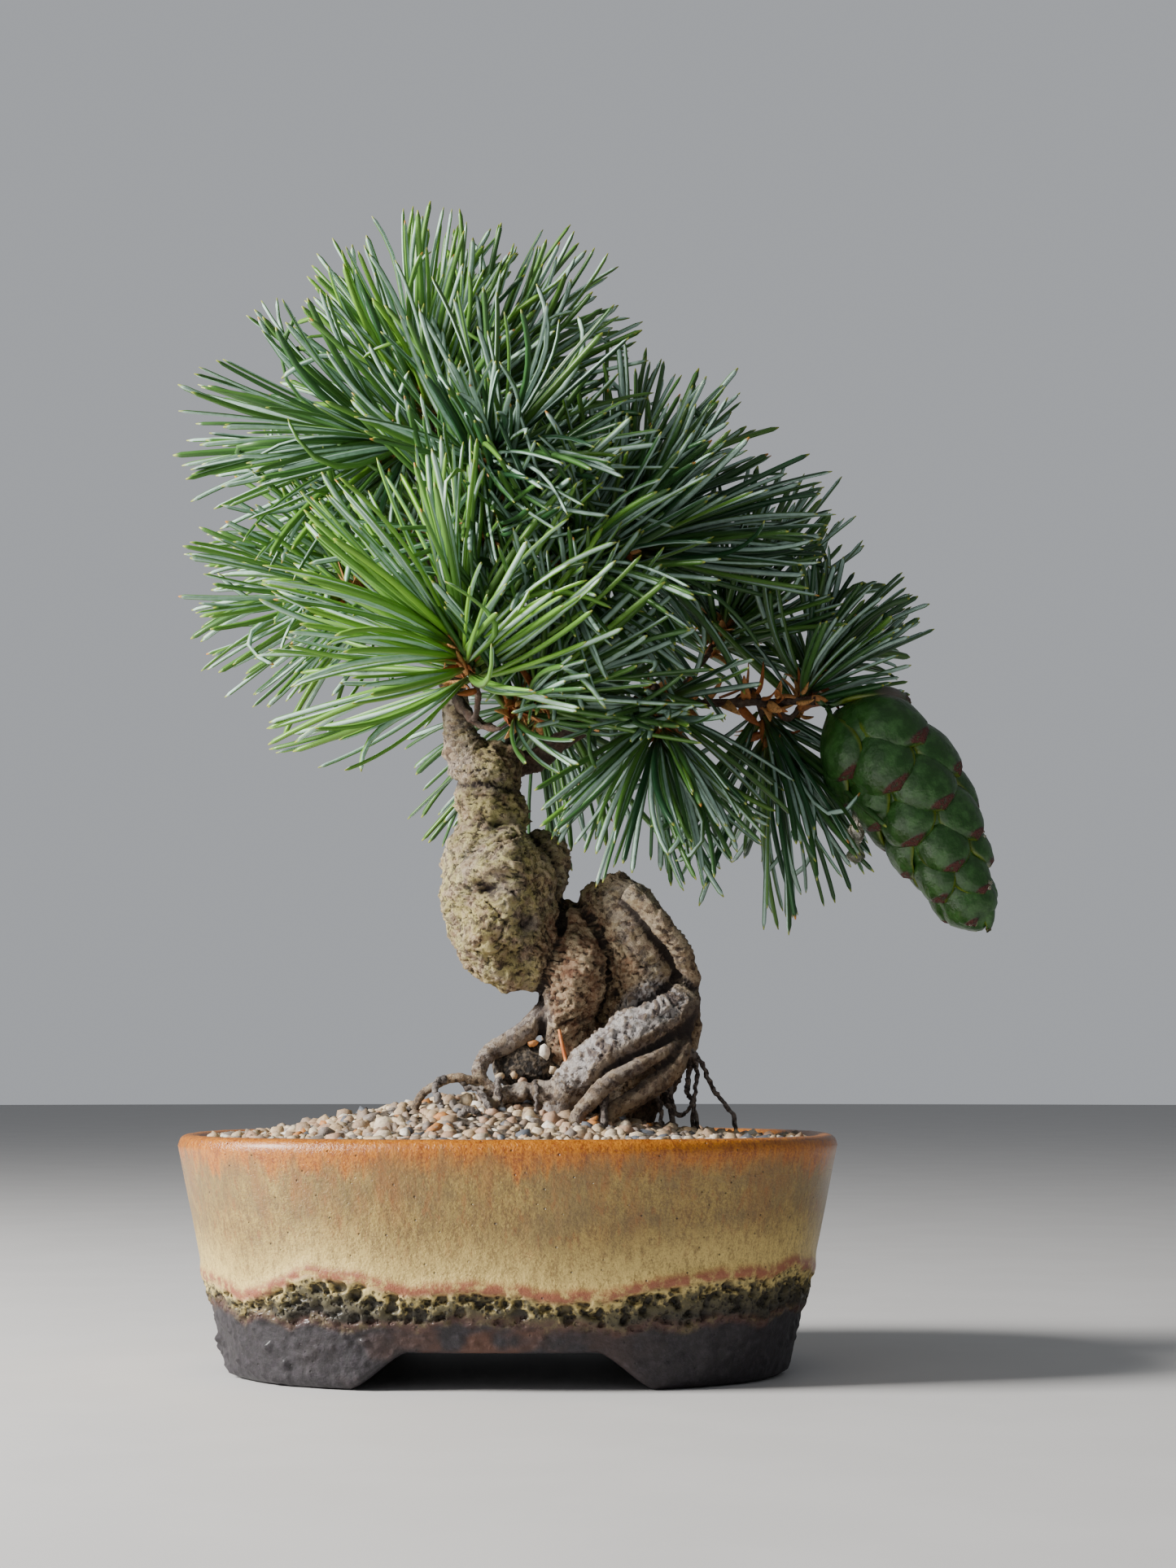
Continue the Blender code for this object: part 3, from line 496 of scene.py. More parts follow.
@dataclass(frozen=True)
class NeedleFinish:
    """Waxy pine needles: green backs, pale inner faces and yellow tips."""

    deep: Colour = (0.012, 0.055, 0.016)
    fresh_and_lit: Colour = (0.19, 0.42, 0.035)
    wax: Colour = (0.42, 0.60, 0.52)
    tip: Colour = (0.33, 0.38, 0.05)
    scorched: Colour = (0.62, 0.26, 0.03)
    base: Colour = (0.22, 0.30, 0.08)

    def make(self) -> bpy.types.Material:
        """Builds the material."""
        recipe = Recipe("pine_needle", 0.42)
        along, draw = recipe.noted("along"), recipe.noted("draw")
        # Needle backs go from deep to bright green by the noted brightness: partly young growth, partly
        # painted light on the tufts the light reaches.
        back = recipe.blend(recipe.noted("fresh_and_lit"), self.deep, self.fresh_and_lit)
        back = recipe.blend(recipe.rise(draw, 0.0, 1.0, 0.0, 0.35), back, (0.03, 0.12, 0.05))
        wax = recipe.sum("MULTIPLY", recipe.rise(recipe.noted("inner"), 0.12, 0.5),
                         recipe.rise(recipe.grain(1.6, 2.0), 0.3, 0.6, 0.7, 0.95))
        colour = recipe.blend(wax, back, self.wax)
        colour = recipe.blend(recipe.rise(along, 0.12, 0.0), colour, self.base)
        tip = recipe.blend(recipe.rise(draw, 0.94, 0.95), self.tip, self.scorched)
        colour = recipe.blend(recipe.rise(along, 0.965, 0.995), colour, tip)
        return recipe.finished(colour, recipe.rise(wax, 0.0, 1.0, 0.36, 0.6), Specular_IOR_Level=0.5)


class Bark(Enum):
    """The kinds of bark, each called after the piece that wears it."""

    TRUNK = "trunk_bark"
    BRANCH = "branch_bark"
    ROOT = "fine_roots"


@dataclass(frozen=True)
class BarkFinish:
    """Flaky pine bark, with lichen, silvery bare wood and rusty patches, and painted shade in its crevices,
    creases, seams, knot eyes and on limbs in shadow.
    """

    kind: Bark
    light: Colour = (0.31, 0.195, 0.105)
    dark: Colour = (0.070, 0.040, 0.022)
    flake: Colour = (0.56, 0.43, 0.27)
    lichen: Colour = (0.58, 0.50, 0.18)
    silver: Colour = (0.50, 0.465, 0.45)
    rust: Colour = (0.26, 0.105, 0.052)
    crevice_shade: Colour = (0.014, 0.009, 0.007)
    crust: Colour = (0.085, 0.070, 0.022)
    groove: Colour = (0.12, 0.09, 0.085)
    painted_shade: Colour = (0.04, 0.026, 0.022)

    @classmethod
    def of(cls, kind: Bark) -> "BarkFinish":
        """The colours of one kind of bark."""
        if kind is Bark.BRANCH:
            return cls(kind, (0.26, 0.17, 0.11), (0.085, 0.05, 0.035), (0.40, 0.30, 0.20))
        if kind is Bark.ROOT:
            return cls(kind, (0.13, 0.10, 0.085), (0.035, 0.026, 0.022), (0.30, 0.26, 0.23))
        return cls(kind)

    def make(self) -> bpy.types.Material:
        """Builds the material."""
        recipe = Recipe(self.kind.value, 0.85)
        coarse, small = recipe.chips(1.5, 1.4), recipe.chips(0.75)
        fine, broad = recipe.grain(0.5, 5.0, rough=0.7), recipe.grain(5.0, 4.0)
        tone = recipe.sum("ADD", recipe.sum("MULTIPLY", coarse, 0.40), recipe.sum("MULTIPLY", small, 0.30))
        tone = recipe.sum("ADD", tone, recipe.sum("MULTIPLY", recipe.sum("ADD", fine, broad), 0.30))
        colour = recipe.blend(recipe.rise(tone, 0.42, 0.66), self.dark, self.light)
        colour = recipe.blend(recipe.rise(tone, 0.64, 0.76, 0.0, 0.85), colour, self.flake)
        rust = recipe.sum("MULTIPLY", recipe.noted("rust"),
                          recipe.rise(recipe.grain(3.5, 3.0), 0.42, 0.6, 0.0, 0.75))
        colour = recipe.blend(rust, colour, self.rust)
        crust = recipe.blend(recipe.rise(tone, 0.44, 0.68), self.crust, self.lichen)
        lichen = recipe.sum("MULTIPLY", recipe.noted("lichen"),
                            recipe.rise(recipe.grain(2.6, 5.0), 0.36, 0.6))
        colour = recipe.blend(lichen, colour, crust)
        streak = recipe.noted("streak")
        pale = recipe.blend(recipe.rise(streak, -0.04, 0.20, 0.0, 0.92), self.silver, self.groove)
        silver = recipe.sum("MULTIPLY", recipe.noted("silver"), recipe.rise(tone, 0.36, 0.58, 0.25, 1.0))
        colour = recipe.blend(silver, colour, pale)
        # Painted shade: crevices, where hollow is above 0, are darkened with painted shade; ridges, where it
        # is below 0, are tinted towards the flake colour.
        hollow = recipe.noted("hollow")
        colour = recipe.blend(recipe.rise(hollow, 0.0, -0.7, 0.0, 0.3), colour, self.flake)
        colour = recipe.blend(recipe.rise(hollow, 0.1, 0.8, 0.0, 0.92), colour, self.crevice_shade)
        # Painted shade: the noted shade number darkens limbs in shadow, creases, seams between fused strands
        # and knot eyes.
        colour = recipe.blend(recipe.noted("shade"), colour, self.painted_shade)
        recipe.relief(recipe.sum("ADD", recipe.sum("ADD", fine, recipe.grain(0.25, 3.0)),
                                 recipe.sum("MULTIPLY", recipe.sum("ADD", coarse, small),
                                            recipe.rise(recipe.noted("silver"), 0.3, 0.9, 0.55, 0.12))), 0.42)
        return recipe.finished(colour)


@dataclass(frozen=True)
class GlazeFinish:
    """A running ash glaze over dark stoneware, from an amber rim to a bubbled lower edge."""

    amber: Colour = (0.53, 0.185, 0.012)
    ember: Colour = (0.24, 0.058, 0.007)
    olive: Colour = (0.40, 0.275, 0.072)
    umber: Colour = (0.20, 0.118, 0.034)
    smoke: Colour = (0.17, 0.115, 0.045)
    run: Colour = (0.29, 0.098, 0.020)
    cream: Colour = (0.72, 0.53, 0.17)
    salmon: Colour = (0.31, 0.098, 0.042)
    froth: Colour = (0.56, 0.43, 0.15)
    moss: Colour = (0.085, 0.070, 0.026)
    scorch_and_pit_shade: Colour = (0.014, 0.011, 0.007)
    dark_glaze_and_cup_shade: Colour = (0.035, 0.024, 0.011)
    clay: Colour = (0.0095, 0.0070, 0.0090)
    dust: Colour = (0.030, 0.023, 0.030)
    toast: Colour = (0.10, 0.036, 0.016)

    def make(self) -> bpy.types.Material:
        """Builds the material."""
        recipe = Recipe("running_glaze")
        over, below = recipe.noted("over_line"), recipe.noted("below_rim")
        froth, pit, bare = recipe.noted("froth"), recipe.noted("pit"), recipe.noted("bare")
        runs = recipe.grain(5.0, 5.0, (1.0, 1.0, 0.16), 0.65)
        streaks = recipe.grain(1.1, 3.0, (1.0, 1.0, 0.30), 0.6)
        speck = recipe.grain(0.42, 4.0, (1.0, 1.0, 0.75), 0.75)
        mottle = recipe.sum("ADD", recipe.sum("MULTIPLY", speck, 0.6), recipe.sum("MULTIPLY", streaks, 0.4))
        colour = recipe.blend(recipe.rise(mottle, 0.40, 0.60), self.umber, self.olive)
        middle = recipe.sum("MULTIPLY", recipe.rise(over, 6.0, 14.0),
                            recipe.rise(recipe.grain(9.0, 4.0), 0.40, 0.62, 0.0, 0.55))
        colour = recipe.blend(middle, colour, self.smoke)
        red = recipe.sum("MULTIPLY", recipe.rise(below, 27.0, 5.0), recipe.rise(runs, 0.46, 0.64, 0.0, 0.60))
        red = recipe.sum("MULTIPLY", red, recipe.rise(speck, 0.35, 0.6, 0.4, 1.0))
        colour = recipe.blend(red, colour, self.run)
        fleck = recipe.rise(recipe.grain(1.3, 3.0, (1.0, 1.0, 0.35)), 0.56, 0.68)
        fleck = recipe.sum("MULTIPLY", fleck, recipe.rise(over, 3.0, 12.0, 0.10, 0.40))
        colour = recipe.blend(fleck, colour, self.run)
        lower = recipe.sum("MULTIPLY", recipe.rise(over, 14.0, 2.0),
                           recipe.rise(mottle, 0.36, 0.58, 0.25, 0.95))
        colour = recipe.blend(lower, colour, self.cream)
        rim = recipe.blend(recipe.rise(mottle, 0.36, 0.6), self.ember, self.amber)
        ragged = recipe.sum("MULTIPLY", recipe.sum("SUBTRACT", runs, 0.5), 22.0)
        upper = recipe.rise(recipe.sum("ADD", below, ragged), 8.0, 2.8)
        colour = recipe.blend(upper, colour, rim)
        blush = recipe.sum("MULTIPLY", recipe.rise(over, 3.6, 1.7),
                           recipe.rise(recipe.grain(3.4, 5.0, rough=0.65), 0.36, 0.54, 0.1, 1.0))
        colour = recipe.blend(blush, colour, self.salmon)
        clay = recipe.blend(recipe.rise(recipe.grain(1.3, 5.0, rough=0.7), 0.40, 0.72), self.clay, self.dust)
        clay = recipe.blend(recipe.noted("warm"), clay, self.toast)
        bubble = recipe.specks(1.15)
        wander = recipe.sum("MULTIPLY", recipe.sum("SUBTRACT", recipe.grain(1.6, 4.0), 0.5), 13.0)
        dirt = recipe.sum("ADD", over, wander)
        foam = recipe.blend(recipe.rise(dirt, 0.4, -3.0), self.froth, self.moss)
        foam = recipe.blend(recipe.rise(over, -2.5, -7.0, 0.0, 0.85), foam, self.scorch_and_pit_shade)
        # Bubble cups: their low middles are darkened, partly the froth's dark glaze and partly painted shade
        # of their depth.
        foam = recipe.blend(recipe.rise(bubble, 0.36, 0.20, 0.0, 0.8), foam, self.dark_glaze_and_cup_shade)
        # Pits: darkened, partly dark glaze and partly painted shade of their depth.
        bubbled = recipe.blend(recipe.rise(pit, 0.25, 0.9, 0.0, 0.8), foam, self.scorch_and_pit_shade)
        colour = recipe.blend(froth, colour, bubbled)
        colour = recipe.blend(bare, colour, clay)
        pinhole = recipe.rise(recipe.specks(2.6), 0.03, 0.12)
        # Pinholes: darkened, partly dark glaze and partly painted shade of their depth.
        colour = recipe.blend(recipe.rise(pinhole, 0.6, 0.0, 0.0, 0.8), colour, self.scorch_and_pit_shade)
        height = recipe.sum("ADD", recipe.grain(0.7, 4.0, rough=0.65), pinhole)
        walls = recipe.sum("MULTIPLY", froth, recipe.rise(bubble, 0.15, 0.45, 0.0, 2.5))
        height = recipe.sum("ADD", height, walls)
        recipe.relief(height, 0.26)
        rough = recipe.sum("ADD", recipe.rise(below, 3.0, 22.0, 0.24, 0.5),
                           recipe.sum("MULTIPLY", recipe.sum("MAXIMUM", bare, froth), 0.25))
        return recipe.finished(colour, rough, Coat_Weight=0.2, Coat_Roughness=0.2)


@dataclass(frozen=True)
class PebbleFinish:
    """Washed river grit in mixed earth colours, with a fine speckle."""

    pit: Colour = (0.14, 0.10, 0.08)
    dust: Colour = (0.62, 0.53, 0.42)

    def make(self) -> bpy.types.Material:
        """Builds the material: each pebble's own draw picks its colour from a ramp."""
        recipe = Recipe("river_grit", 0.62)
        ramp = recipe.node("ShaderNodeValToRGB")
        ramp.color_ramp.interpolation = "CONSTANT"
        tones = ((0.0, (0.50, 0.35, 0.20)), (0.14, (0.60, 0.46, 0.29)), (0.30, (0.38, 0.26, 0.16)),
                 (0.44, (0.24, 0.20, 0.17)), (0.54, (0.10, 0.115, 0.14)), (0.60, (0.48, 0.30, 0.19)),
                 (0.70, (0.70, 0.57, 0.41)), (0.83, (0.56, 0.22, 0.05)), (0.875, (0.29, 0.21, 0.15)),
                 (0.95, (0.82, 0.75, 0.63)))
        ramp.color_ramp.elements.remove(ramp.color_ramp.elements[-1])
        for index, (position, tone) in enumerate(tones):
            element = ramp.color_ramp.elements[0] if index == 0 else ramp.color_ramp.elements.new(position)
            element.color = (*tone, 1.0)
        recipe.feed(ramp.inputs["Fac"], recipe.noted("draw"))
        speck = recipe.grain(0.6, 4.0, rough=0.7)
        colour = recipe.blend(recipe.rise(speck, 0.35, 0.6, 0.4, 0.0), ramp.outputs["Color"], self.pit)
        colour = recipe.blend(recipe.rise(recipe.grain(1.6, 3.0), 0.56, 0.7, 0.0, 0.45), colour, self.dust)
        recipe.relief(speck, 0.12)
        return recipe.finished(colour)


@dataclass(frozen=True)
class ConeFinish:
    """A green cone's scales: satin green, a thin pale edge and a purple-brown lip."""

    green: Colour = (0.016, 0.068, 0.008)
    bloom: Colour = (0.046, 0.138, 0.030)
    edge: Colour = (0.17, 0.23, 0.02)
    lip: Colour = (0.085, 0.018, 0.012)
    plum: Colour = (0.055, 0.032, 0.035)
    torn: Colour = (0.15, 0.115, 0.10)

    def make(self) -> bpy.types.Material:
        """Builds the material."""
        recipe = Recipe("green_cone_scale", 0.36)
        colour = recipe.blend(recipe.rise(recipe.grain(3.0, 4.0), 0.4, 0.66), self.green, self.bloom)
        colour = recipe.blend(recipe.rise(recipe.grain(0.5, 3.0), 0.4, 0.7, 0.0, 0.35), colour, self.green)
        colour = recipe.blend(recipe.rise(recipe.noted("edge"), 0.6, 0.95, 0.0, 0.85), colour, self.edge)
        wide = recipe.sum("MULTIPLY", recipe.rise(recipe.noted("lip"), 0.08, 0.4, 0.0, 0.7),
                          recipe.rise(recipe.grain(1.2, 4.0), 0.35, 0.6))
        colour = recipe.blend(wide, colour, self.plum)
        lip = recipe.sum("MULTIPLY", recipe.rise(recipe.noted("lip"), 0.22, 0.48),
                         recipe.rise(recipe.grain(0.8, 4.0), 0.3, 0.5))
        colour = recipe.blend(lip, colour, self.lip)
        colour = recipe.blend(recipe.noted("torn"), colour, self.torn)
        ragged = recipe.sum("MULTIPLY", lip, recipe.grain(0.5, 3.0))
        recipe.relief(recipe.sum("ADD", recipe.grain(2.2, 3.0), ragged), 0.4)
        return recipe.finished(colour, recipe.rise(lip, 0.0, 1.0, 0.34, 0.7), Specular_IOR_Level=0.55)


@dataclass(frozen=True)
class PaperFinish:
    """Dry papery bud scales, rust and straw."""

    rust: Colour = (0.36, 0.105, 0.022)
    straw: Colour = (0.66, 0.33, 0.11)
    stain: Colour = (0.14, 0.045, 0.018)

    def make(self) -> bpy.types.Material:
        """Builds the material."""
        recipe = Recipe("papery_bud_scale", 0.6)
        colour = recipe.blend(recipe.rise(recipe.noted("draw"), 0.1, 0.9), self.rust, self.straw)
        colour = recipe.blend(recipe.rise(recipe.grain(0.5, 3.0), 0.5, 0.66, 0.0, 0.6), colour, self.stain)
        recipe.relief(recipe.grain(0.4, 3.0), 0.2)
        return recipe.finished(colour)


@dataclass(frozen=True)
class ResinFinish:
    """Fresh pine resin, clear and wet, with a trace of amber."""

    tint: Colour = (0.98, 0.88, 0.74)

    def make(self) -> bpy.types.Material:
        """Builds the material."""
        recipe = Recipe("clear_resin", 0.03)
        return recipe.finished(self.tint, Transmission_Weight=0.92, IOR=1.48)


@dataclass(frozen=True)
class PlainFinish:
    """One colour broken up by fine grain, for the parts that are mostly out of sight."""

    name: str
    colour: Colour
    second: Colour
    size: float = 1.0
    roughness: float = 0.7
    depth: float = 0.2
    metallic: float = 0.0

    def make(self) -> bpy.types.Material:
        """Builds the material."""
        recipe = Recipe(self.name, self.roughness)
        grain = recipe.grain(self.size, 4.0)
        recipe.relief(grain, self.depth)
        return recipe.finished(recipe.blend(recipe.rise(grain, 0.4, 0.62), self.colour, self.second),
                               Metallic=self.metallic)


# -------------------------------------------------------------------- pot


@dataclass
class Pot:
    """An oval stoneware pot with cut feet, its glaze run down to a bubbled edge."""

    datum: Datum
    length: float = 140.0
    depth: float = 115.0
    height: float = 49.5
    base_length: float = 119.0
    base_depth: float = 98.0
    wall: float = 5.0
    foot_wall: float = 9.5
    floor_underside: float = 9.0
    floor_thickness: float = 4.5
    oval_power: float = 2.5
    lip_radius: float = 2.1
    columns: int = 700
    front_arch: tuple[float, float, float] = (30.0, 19.0, 7.5)
    side_arch: tuple[float, float, float] = (13.0, 7.0, 5.0)
    arch_fades_at: float = 13.5
    arch_starts_at: float = 25.0
    drain_radius: float = 6.5
    drain_spacing: float = 48.0
    floor_sides: int = 96
    bare_clay: tuple[tuple[str, float], ...] = (
        ("over_line", 20.0), ("below_rim", 30.0), ("froth", 0.0), ("pit", 0.0), ("bare", 1.0), ("warm", 0.0))
    front_edge: tuple[tuple[float, float], ...] = (
        (-58, 19.5), (-52, 16.2), (-45, 19.0), (-38, 22.0), (-28, 21.0), (-18, 18.8), (-9, 19.6), (1, 18.8),
        (10, 17.2), (20, 17.2), (27, 19.6), (37, 20.4), (45, 22.0), (51, 21.0), (58, 22.5))
    froth_depths: tuple[tuple[float, float], ...] = (
        (-60, 4.5), (-48, 4.5), (-42, 8.5), (-30, 9.0), (-20, 6.0), (0, 6.0), (8, 5.0), (20, 6.0), (32, 8.0),
        (45, 9.0), (60, 9.0))

    def outline(self, turns: np.ndarray, height: np.ndarray, inset: np.ndarray) -> np.ndarray:
        """Places on the pot's oval.

        Args:
            turns: the angle round the pot, one per place.
            height: how high each place is on the outer wall's slope.
            inset: how far each place is inside the outer wall.

        Returns:
            The x and y of each place.
        """
        share = height / self.height
        half_length = (self.base_length + (self.length - self.base_length) * share) / 2 - inset
        half_depth = (self.base_depth + (self.depth - self.base_depth) * share) / 2 - inset
        across, along = np.cos(turns), np.sin(turns)
        power = 2 / self.oval_power
        return np.stack([half_length * np.sign(across) * np.abs(across) ** power,
                         half_depth * np.sign(along) * np.abs(along) ** power], axis=1)

    def even_turns(self) -> np.ndarray:
        """Angles at even distances along the rim, from 0 to a full turn."""
        turns = np.linspace(0, 2 * math.pi, 20001)
        flat = np.zeros_like(turns)
        rim = self.outline(turns, flat + self.height, flat)
        walked = np.concatenate([[0], np.cumsum(np.linalg.norm(np.diff(rim, axis=0), axis=1))])
        return np.interp(np.linspace(0, walked[-1], self.columns + 1), walked, turns)

    def section(self) -> np.ndarray:
        """The wall's closed section, from the outer foot round the rim and back.

        Each row is an inset, a height and a weight. The weight is 1 on the outer face, where the
        glaze and clay have their relief.
        """
        outer = np.concatenate([np.linspace(1.9, 7.5, 11), np.linspace(8.0, 24.0, 42),
                                np.linspace(24.8, 47.2, 26)])
        rows = [(2.2, 0.0, 0.2), (1.0, 0.35, 0.4), (0.35, 0.95, 0.7), *[(0.0, z, 1.0) for z in outer]]
        middle = self.height - self.lip_radius
        for step in range(1, 10):
            turn = math.pi * step / 10
            inset = self.wall / 2 - self.wall / 2 * math.cos(turn)
            rows.append((inset, middle + self.lip_radius * math.sin(turn), 0.5))
        rows += [(self.wall, z, 0.2) for z in np.linspace(middle, 14.5, 9)]
        rows += [(self.wall + 1.2, 12.0, 0.0), (self.foot_wall - 0.6, 10.6, 0.0), (self.foot_wall, 9.0, 0.0)]
        rows += [(self.foot_wall, z, 0.1) for z in (6.5, 4.0, 1.8)] + [(self.foot_wall - 0.8, 0.3, 0.1)]
        rows += [(inset, 0.0, 0.1) for inset in (self.foot_wall - 1.8, 6.2, 4.6, 3.2)]
        return np.array(rows)

    def foot_lift(self, places: np.ndarray) -> np.ndarray:
        """How high the arches cut into the foot over each place."""
        lift = np.zeros(len(places))
        for (low, high, rise), along, across in ((self.front_arch, 0, 1), (self.side_arch, 1, 0)):
            share = np.clip((low - np.abs(places[:, along])) / (low - high), 0, 1)
            share = 0.55 * share + 0.45 * share * share * (3 - 2 * share)
            lift = np.maximum(lift, rise * share * (np.abs(places[:, across]) > self.arch_starts_at))
        return lift

    @staticmethod
    def front_share(places: np.ndarray) -> np.ndarray:
        """1 on the pot's front, 0 from its sides round the back."""
        return ease(-places[:, 1], 5.0, 30.0)

    def glaze_edge(self, places: np.ndarray) -> np.ndarray:
        """The height at which the glaze ends over each place."""
        level = np.array([1.0, 1.0, 0.0]) * places
        wander = 19.0 + 2.6 * Pattern.fractal(level, 26.0, 3, 5)
        xs, heights = zip(*self.front_edge)
        front = self.front_share(places)
        drawn = np.interp(places[:, 0], xs, heights)
        return wander * (1 - front) + drawn * front + 0.8 * Pattern.fractal(level, 5.0, 3, 6)

    def build_wall(self) -> bpy.types.Object:
        """The ring of wall, rim and foot, with its relief and the numbers that the glaze reads."""
        section = self.section()
        turns = self.even_turns()
        bm = bmesh.new()
        bmesh.ops.create_grid(bm, x_segments=self.columns, y_segments=len(section), size=1.0)
        mesh = mesh_from(bm, "pot_wall")
        grid = coordinates(mesh)
        column = np.rint((grid[:, 0] + 1) / 2 * self.columns).astype(int)
        row = np.rint((grid[:, 1] + 1) / 2 * len(section)).astype(int) % len(section)
        inset, height, weight = section[row].T
        flat = self.outline(turns[column], height, inset)
        places = np.column_stack([flat, height])
        lift = self.foot_lift(places)
        low = np.minimum(height, self.arch_fades_at)
        places[:, 2] += lift * (1 - low / self.arch_fades_at)

        outward = unit(np.column_stack([np.sign(flat) * np.abs(flat / [self.length, self.depth]) ** 1.5
                                        / [self.length, self.depth], np.zeros(len(flat))]))
        over = places[:, 2] - self.glaze_edge(places)
        front = self.front_share(places)
        froth_depth = np.interp(places[:, 0], *zip(*self.froth_depths)) * front + 6.0 * (1 - front)
        froth_depth = froth_depth + 1.8 * Pattern.fractal(places, 6.0, 3, 8)
        froth = ease(over, 0.9, -0.4) * ease(over, -froth_depth - 1.4, -froth_depth + 2.4)
        bare = ease(over, -froth_depth + 3.0, -froth_depth - 1.0)
        pit = np.zeros(len(places))
        for size, seed in ((3.0, 10), (2.0, 11)):
            warped = places + 0.5 * Pattern.smooth(places, 1.6, seed)[:, None]
            first, _, draw = Pattern.cells(warped, size, seed)
            reach = 0.20 + 0.32 * draw
            pit = np.maximum(pit, ease(first, reach + 0.12, reach - 0.14) * (draw > 0.3))
        lump = np.zeros(len(places))
        for size, seed in ((3.4, 21), (1.9, 22)):
            first, _, draw = Pattern.cells(places, size, seed)
            lump = lump + size / 3.4 * ease(first, 0.5, 0.0) * (draw > 0.5) * (0.5 + draw)
        glaze = ease(over, -0.8, 0.9) * (0.55 + 0.60 * np.exp(-((over - 1.3) / 2.0) ** 2))
        relief = glaze + froth * (0.70 - 1.4 * pit + 0.6 * Pattern.fractal(places, 1.7, 3, 14))
        relief += bare * (0.55 * lump * (0.6 + 0.8 * ease(-places[:, 0], 0, 25))
                          + 0.50 * Pattern.fractal(places, 4.0, 2, 15)
                          + 0.25 * Pattern.fractal(places, 1.3, 3, 16))
        relief += 0.16 * Pattern.fractal(places, 16.0, 2, 17) + 0.05 * Pattern.fractal(places, 2.0, 2, 18)
        places += outward * (relief * weight)[:, None]
        places[:, 2] += 0.12 * weight * Pattern.fractal(places, 3.0, 2, 19) * (height > self.height - 4)

        outside = weight > 0.25
        inner = (inset > self.wall - 0.1) & (height < self.floor_underside + 2)
        note(mesh, "over_line", np.where(outside, over, 20.0))
        note(mesh, "below_rim", np.where(height > self.height - 32, self.height - height, 32.0))
        warm = np.exp(-((places[:, 0] + 2) / 20) ** 2) * ease(height, 13.0, 9.0)
        warm = warm * ease(-places[:, 1], 20.0, 40.0)
        note(mesh, "warm", 0.75 * warm * ease(Pattern.fractal(places, 5.0, 3, 24), -0.3, 0.3) * outside)
        note(mesh, "froth", np.where(outside, froth, 0.0))
        note(mesh, "pit", np.where(outside, pit * froth, 0.0))
        note(mesh, "bare", np.where(inner, 1.0, np.where(outside, bare, ease(height, 30.0, 15.0))))
        move_vertices(mesh, self.datum.to_frame(places))
        bm = bmesh.new()
        bm.from_mesh(mesh)
        bmesh.ops.remove_doubles(bm, verts=bm.verts[:], dist=0.002 * MM)
        bmesh.ops.recalc_face_normals(bm, faces=bm.faces[:])
        bm.to_mesh(mesh)
        bm.free()
        return piece("pot_wall", mesh, GlazeFinish().make(), ("pot",))

    def build_floor(self) -> bpy.types.Object:
        """The pot's floor, with its two drain holes; its edge lies inside the wall."""
        bm = bmesh.new()
        made = bmesh.ops.create_circle(bm, cap_ends=True, segments=self.floor_sides, radius=1.0)
        turns = np.array([math.atan2(v.co.y, v.co.x) for v in made["verts"]])
        mid = self.floor_underside + self.floor_thickness / 2
        level = np.full(self.floor_sides, mid)
        flat = self.outline(turns, level, np.full(self.floor_sides, self.wall - 1.0))
        for vert, (x, y) in zip(made["verts"], flat):
            vert.co = Vector((x, y, self.floor_underside))
        base = bm.faces[:]
        grown = bmesh.ops.extrude_face_region(bm, geom=base)
        bmesh.ops.translate(bm, vec=(0, 0, self.floor_thickness),
                            verts=[g for g in grown["geom"] if isinstance(g, bmesh.types.BMVert)])
        bmesh.ops.recalc_face_normals(bm, faces=bm.faces[:])
        plate = mesh_from(bm, "pot_floor")
        for side in (-1, 1):
            bm = bmesh.new()
            bmesh.ops.create_cone(bm, cap_ends=True, segments=48, radius1=self.drain_radius,
                                  radius2=self.drain_radius, depth=3 * self.floor_thickness)
            bmesh.ops.translate(bm, vec=(side * self.drain_spacing / 2, 0, mid), verts=bm.verts[:])
            cutter = bpy.data.objects.new("drain_cutter", mesh_from(bm, "drain_cutter"))
            bpy.context.collection.objects.link(cutter)
            plate = baked(plate, "BOOLEAN", operation="DIFFERENCE", object=cutter, solver="EXACT")
            bpy.data.objects.remove(cutter, do_unlink=True)
        plate.shade_flat()
        for name, value in self.bare_clay:
            note(plate, name, np.full(len(plate.vertices), value))
        move_vertices(plate, self.datum.to_frame(coordinates(plate)))
        return piece("pot_floor", plate, bpy.data.materials["running_glaze"])


# ------------------------------------------------------------------- wood


@dataclass(frozen=True)
class Tone:
    """How much of each kind of bark a limb carries, and how much painted shade it gets."""

    lichen: float = 0.0
    silver: float = 0.0
    rust: float = 0.0
    shade: float = 0.0


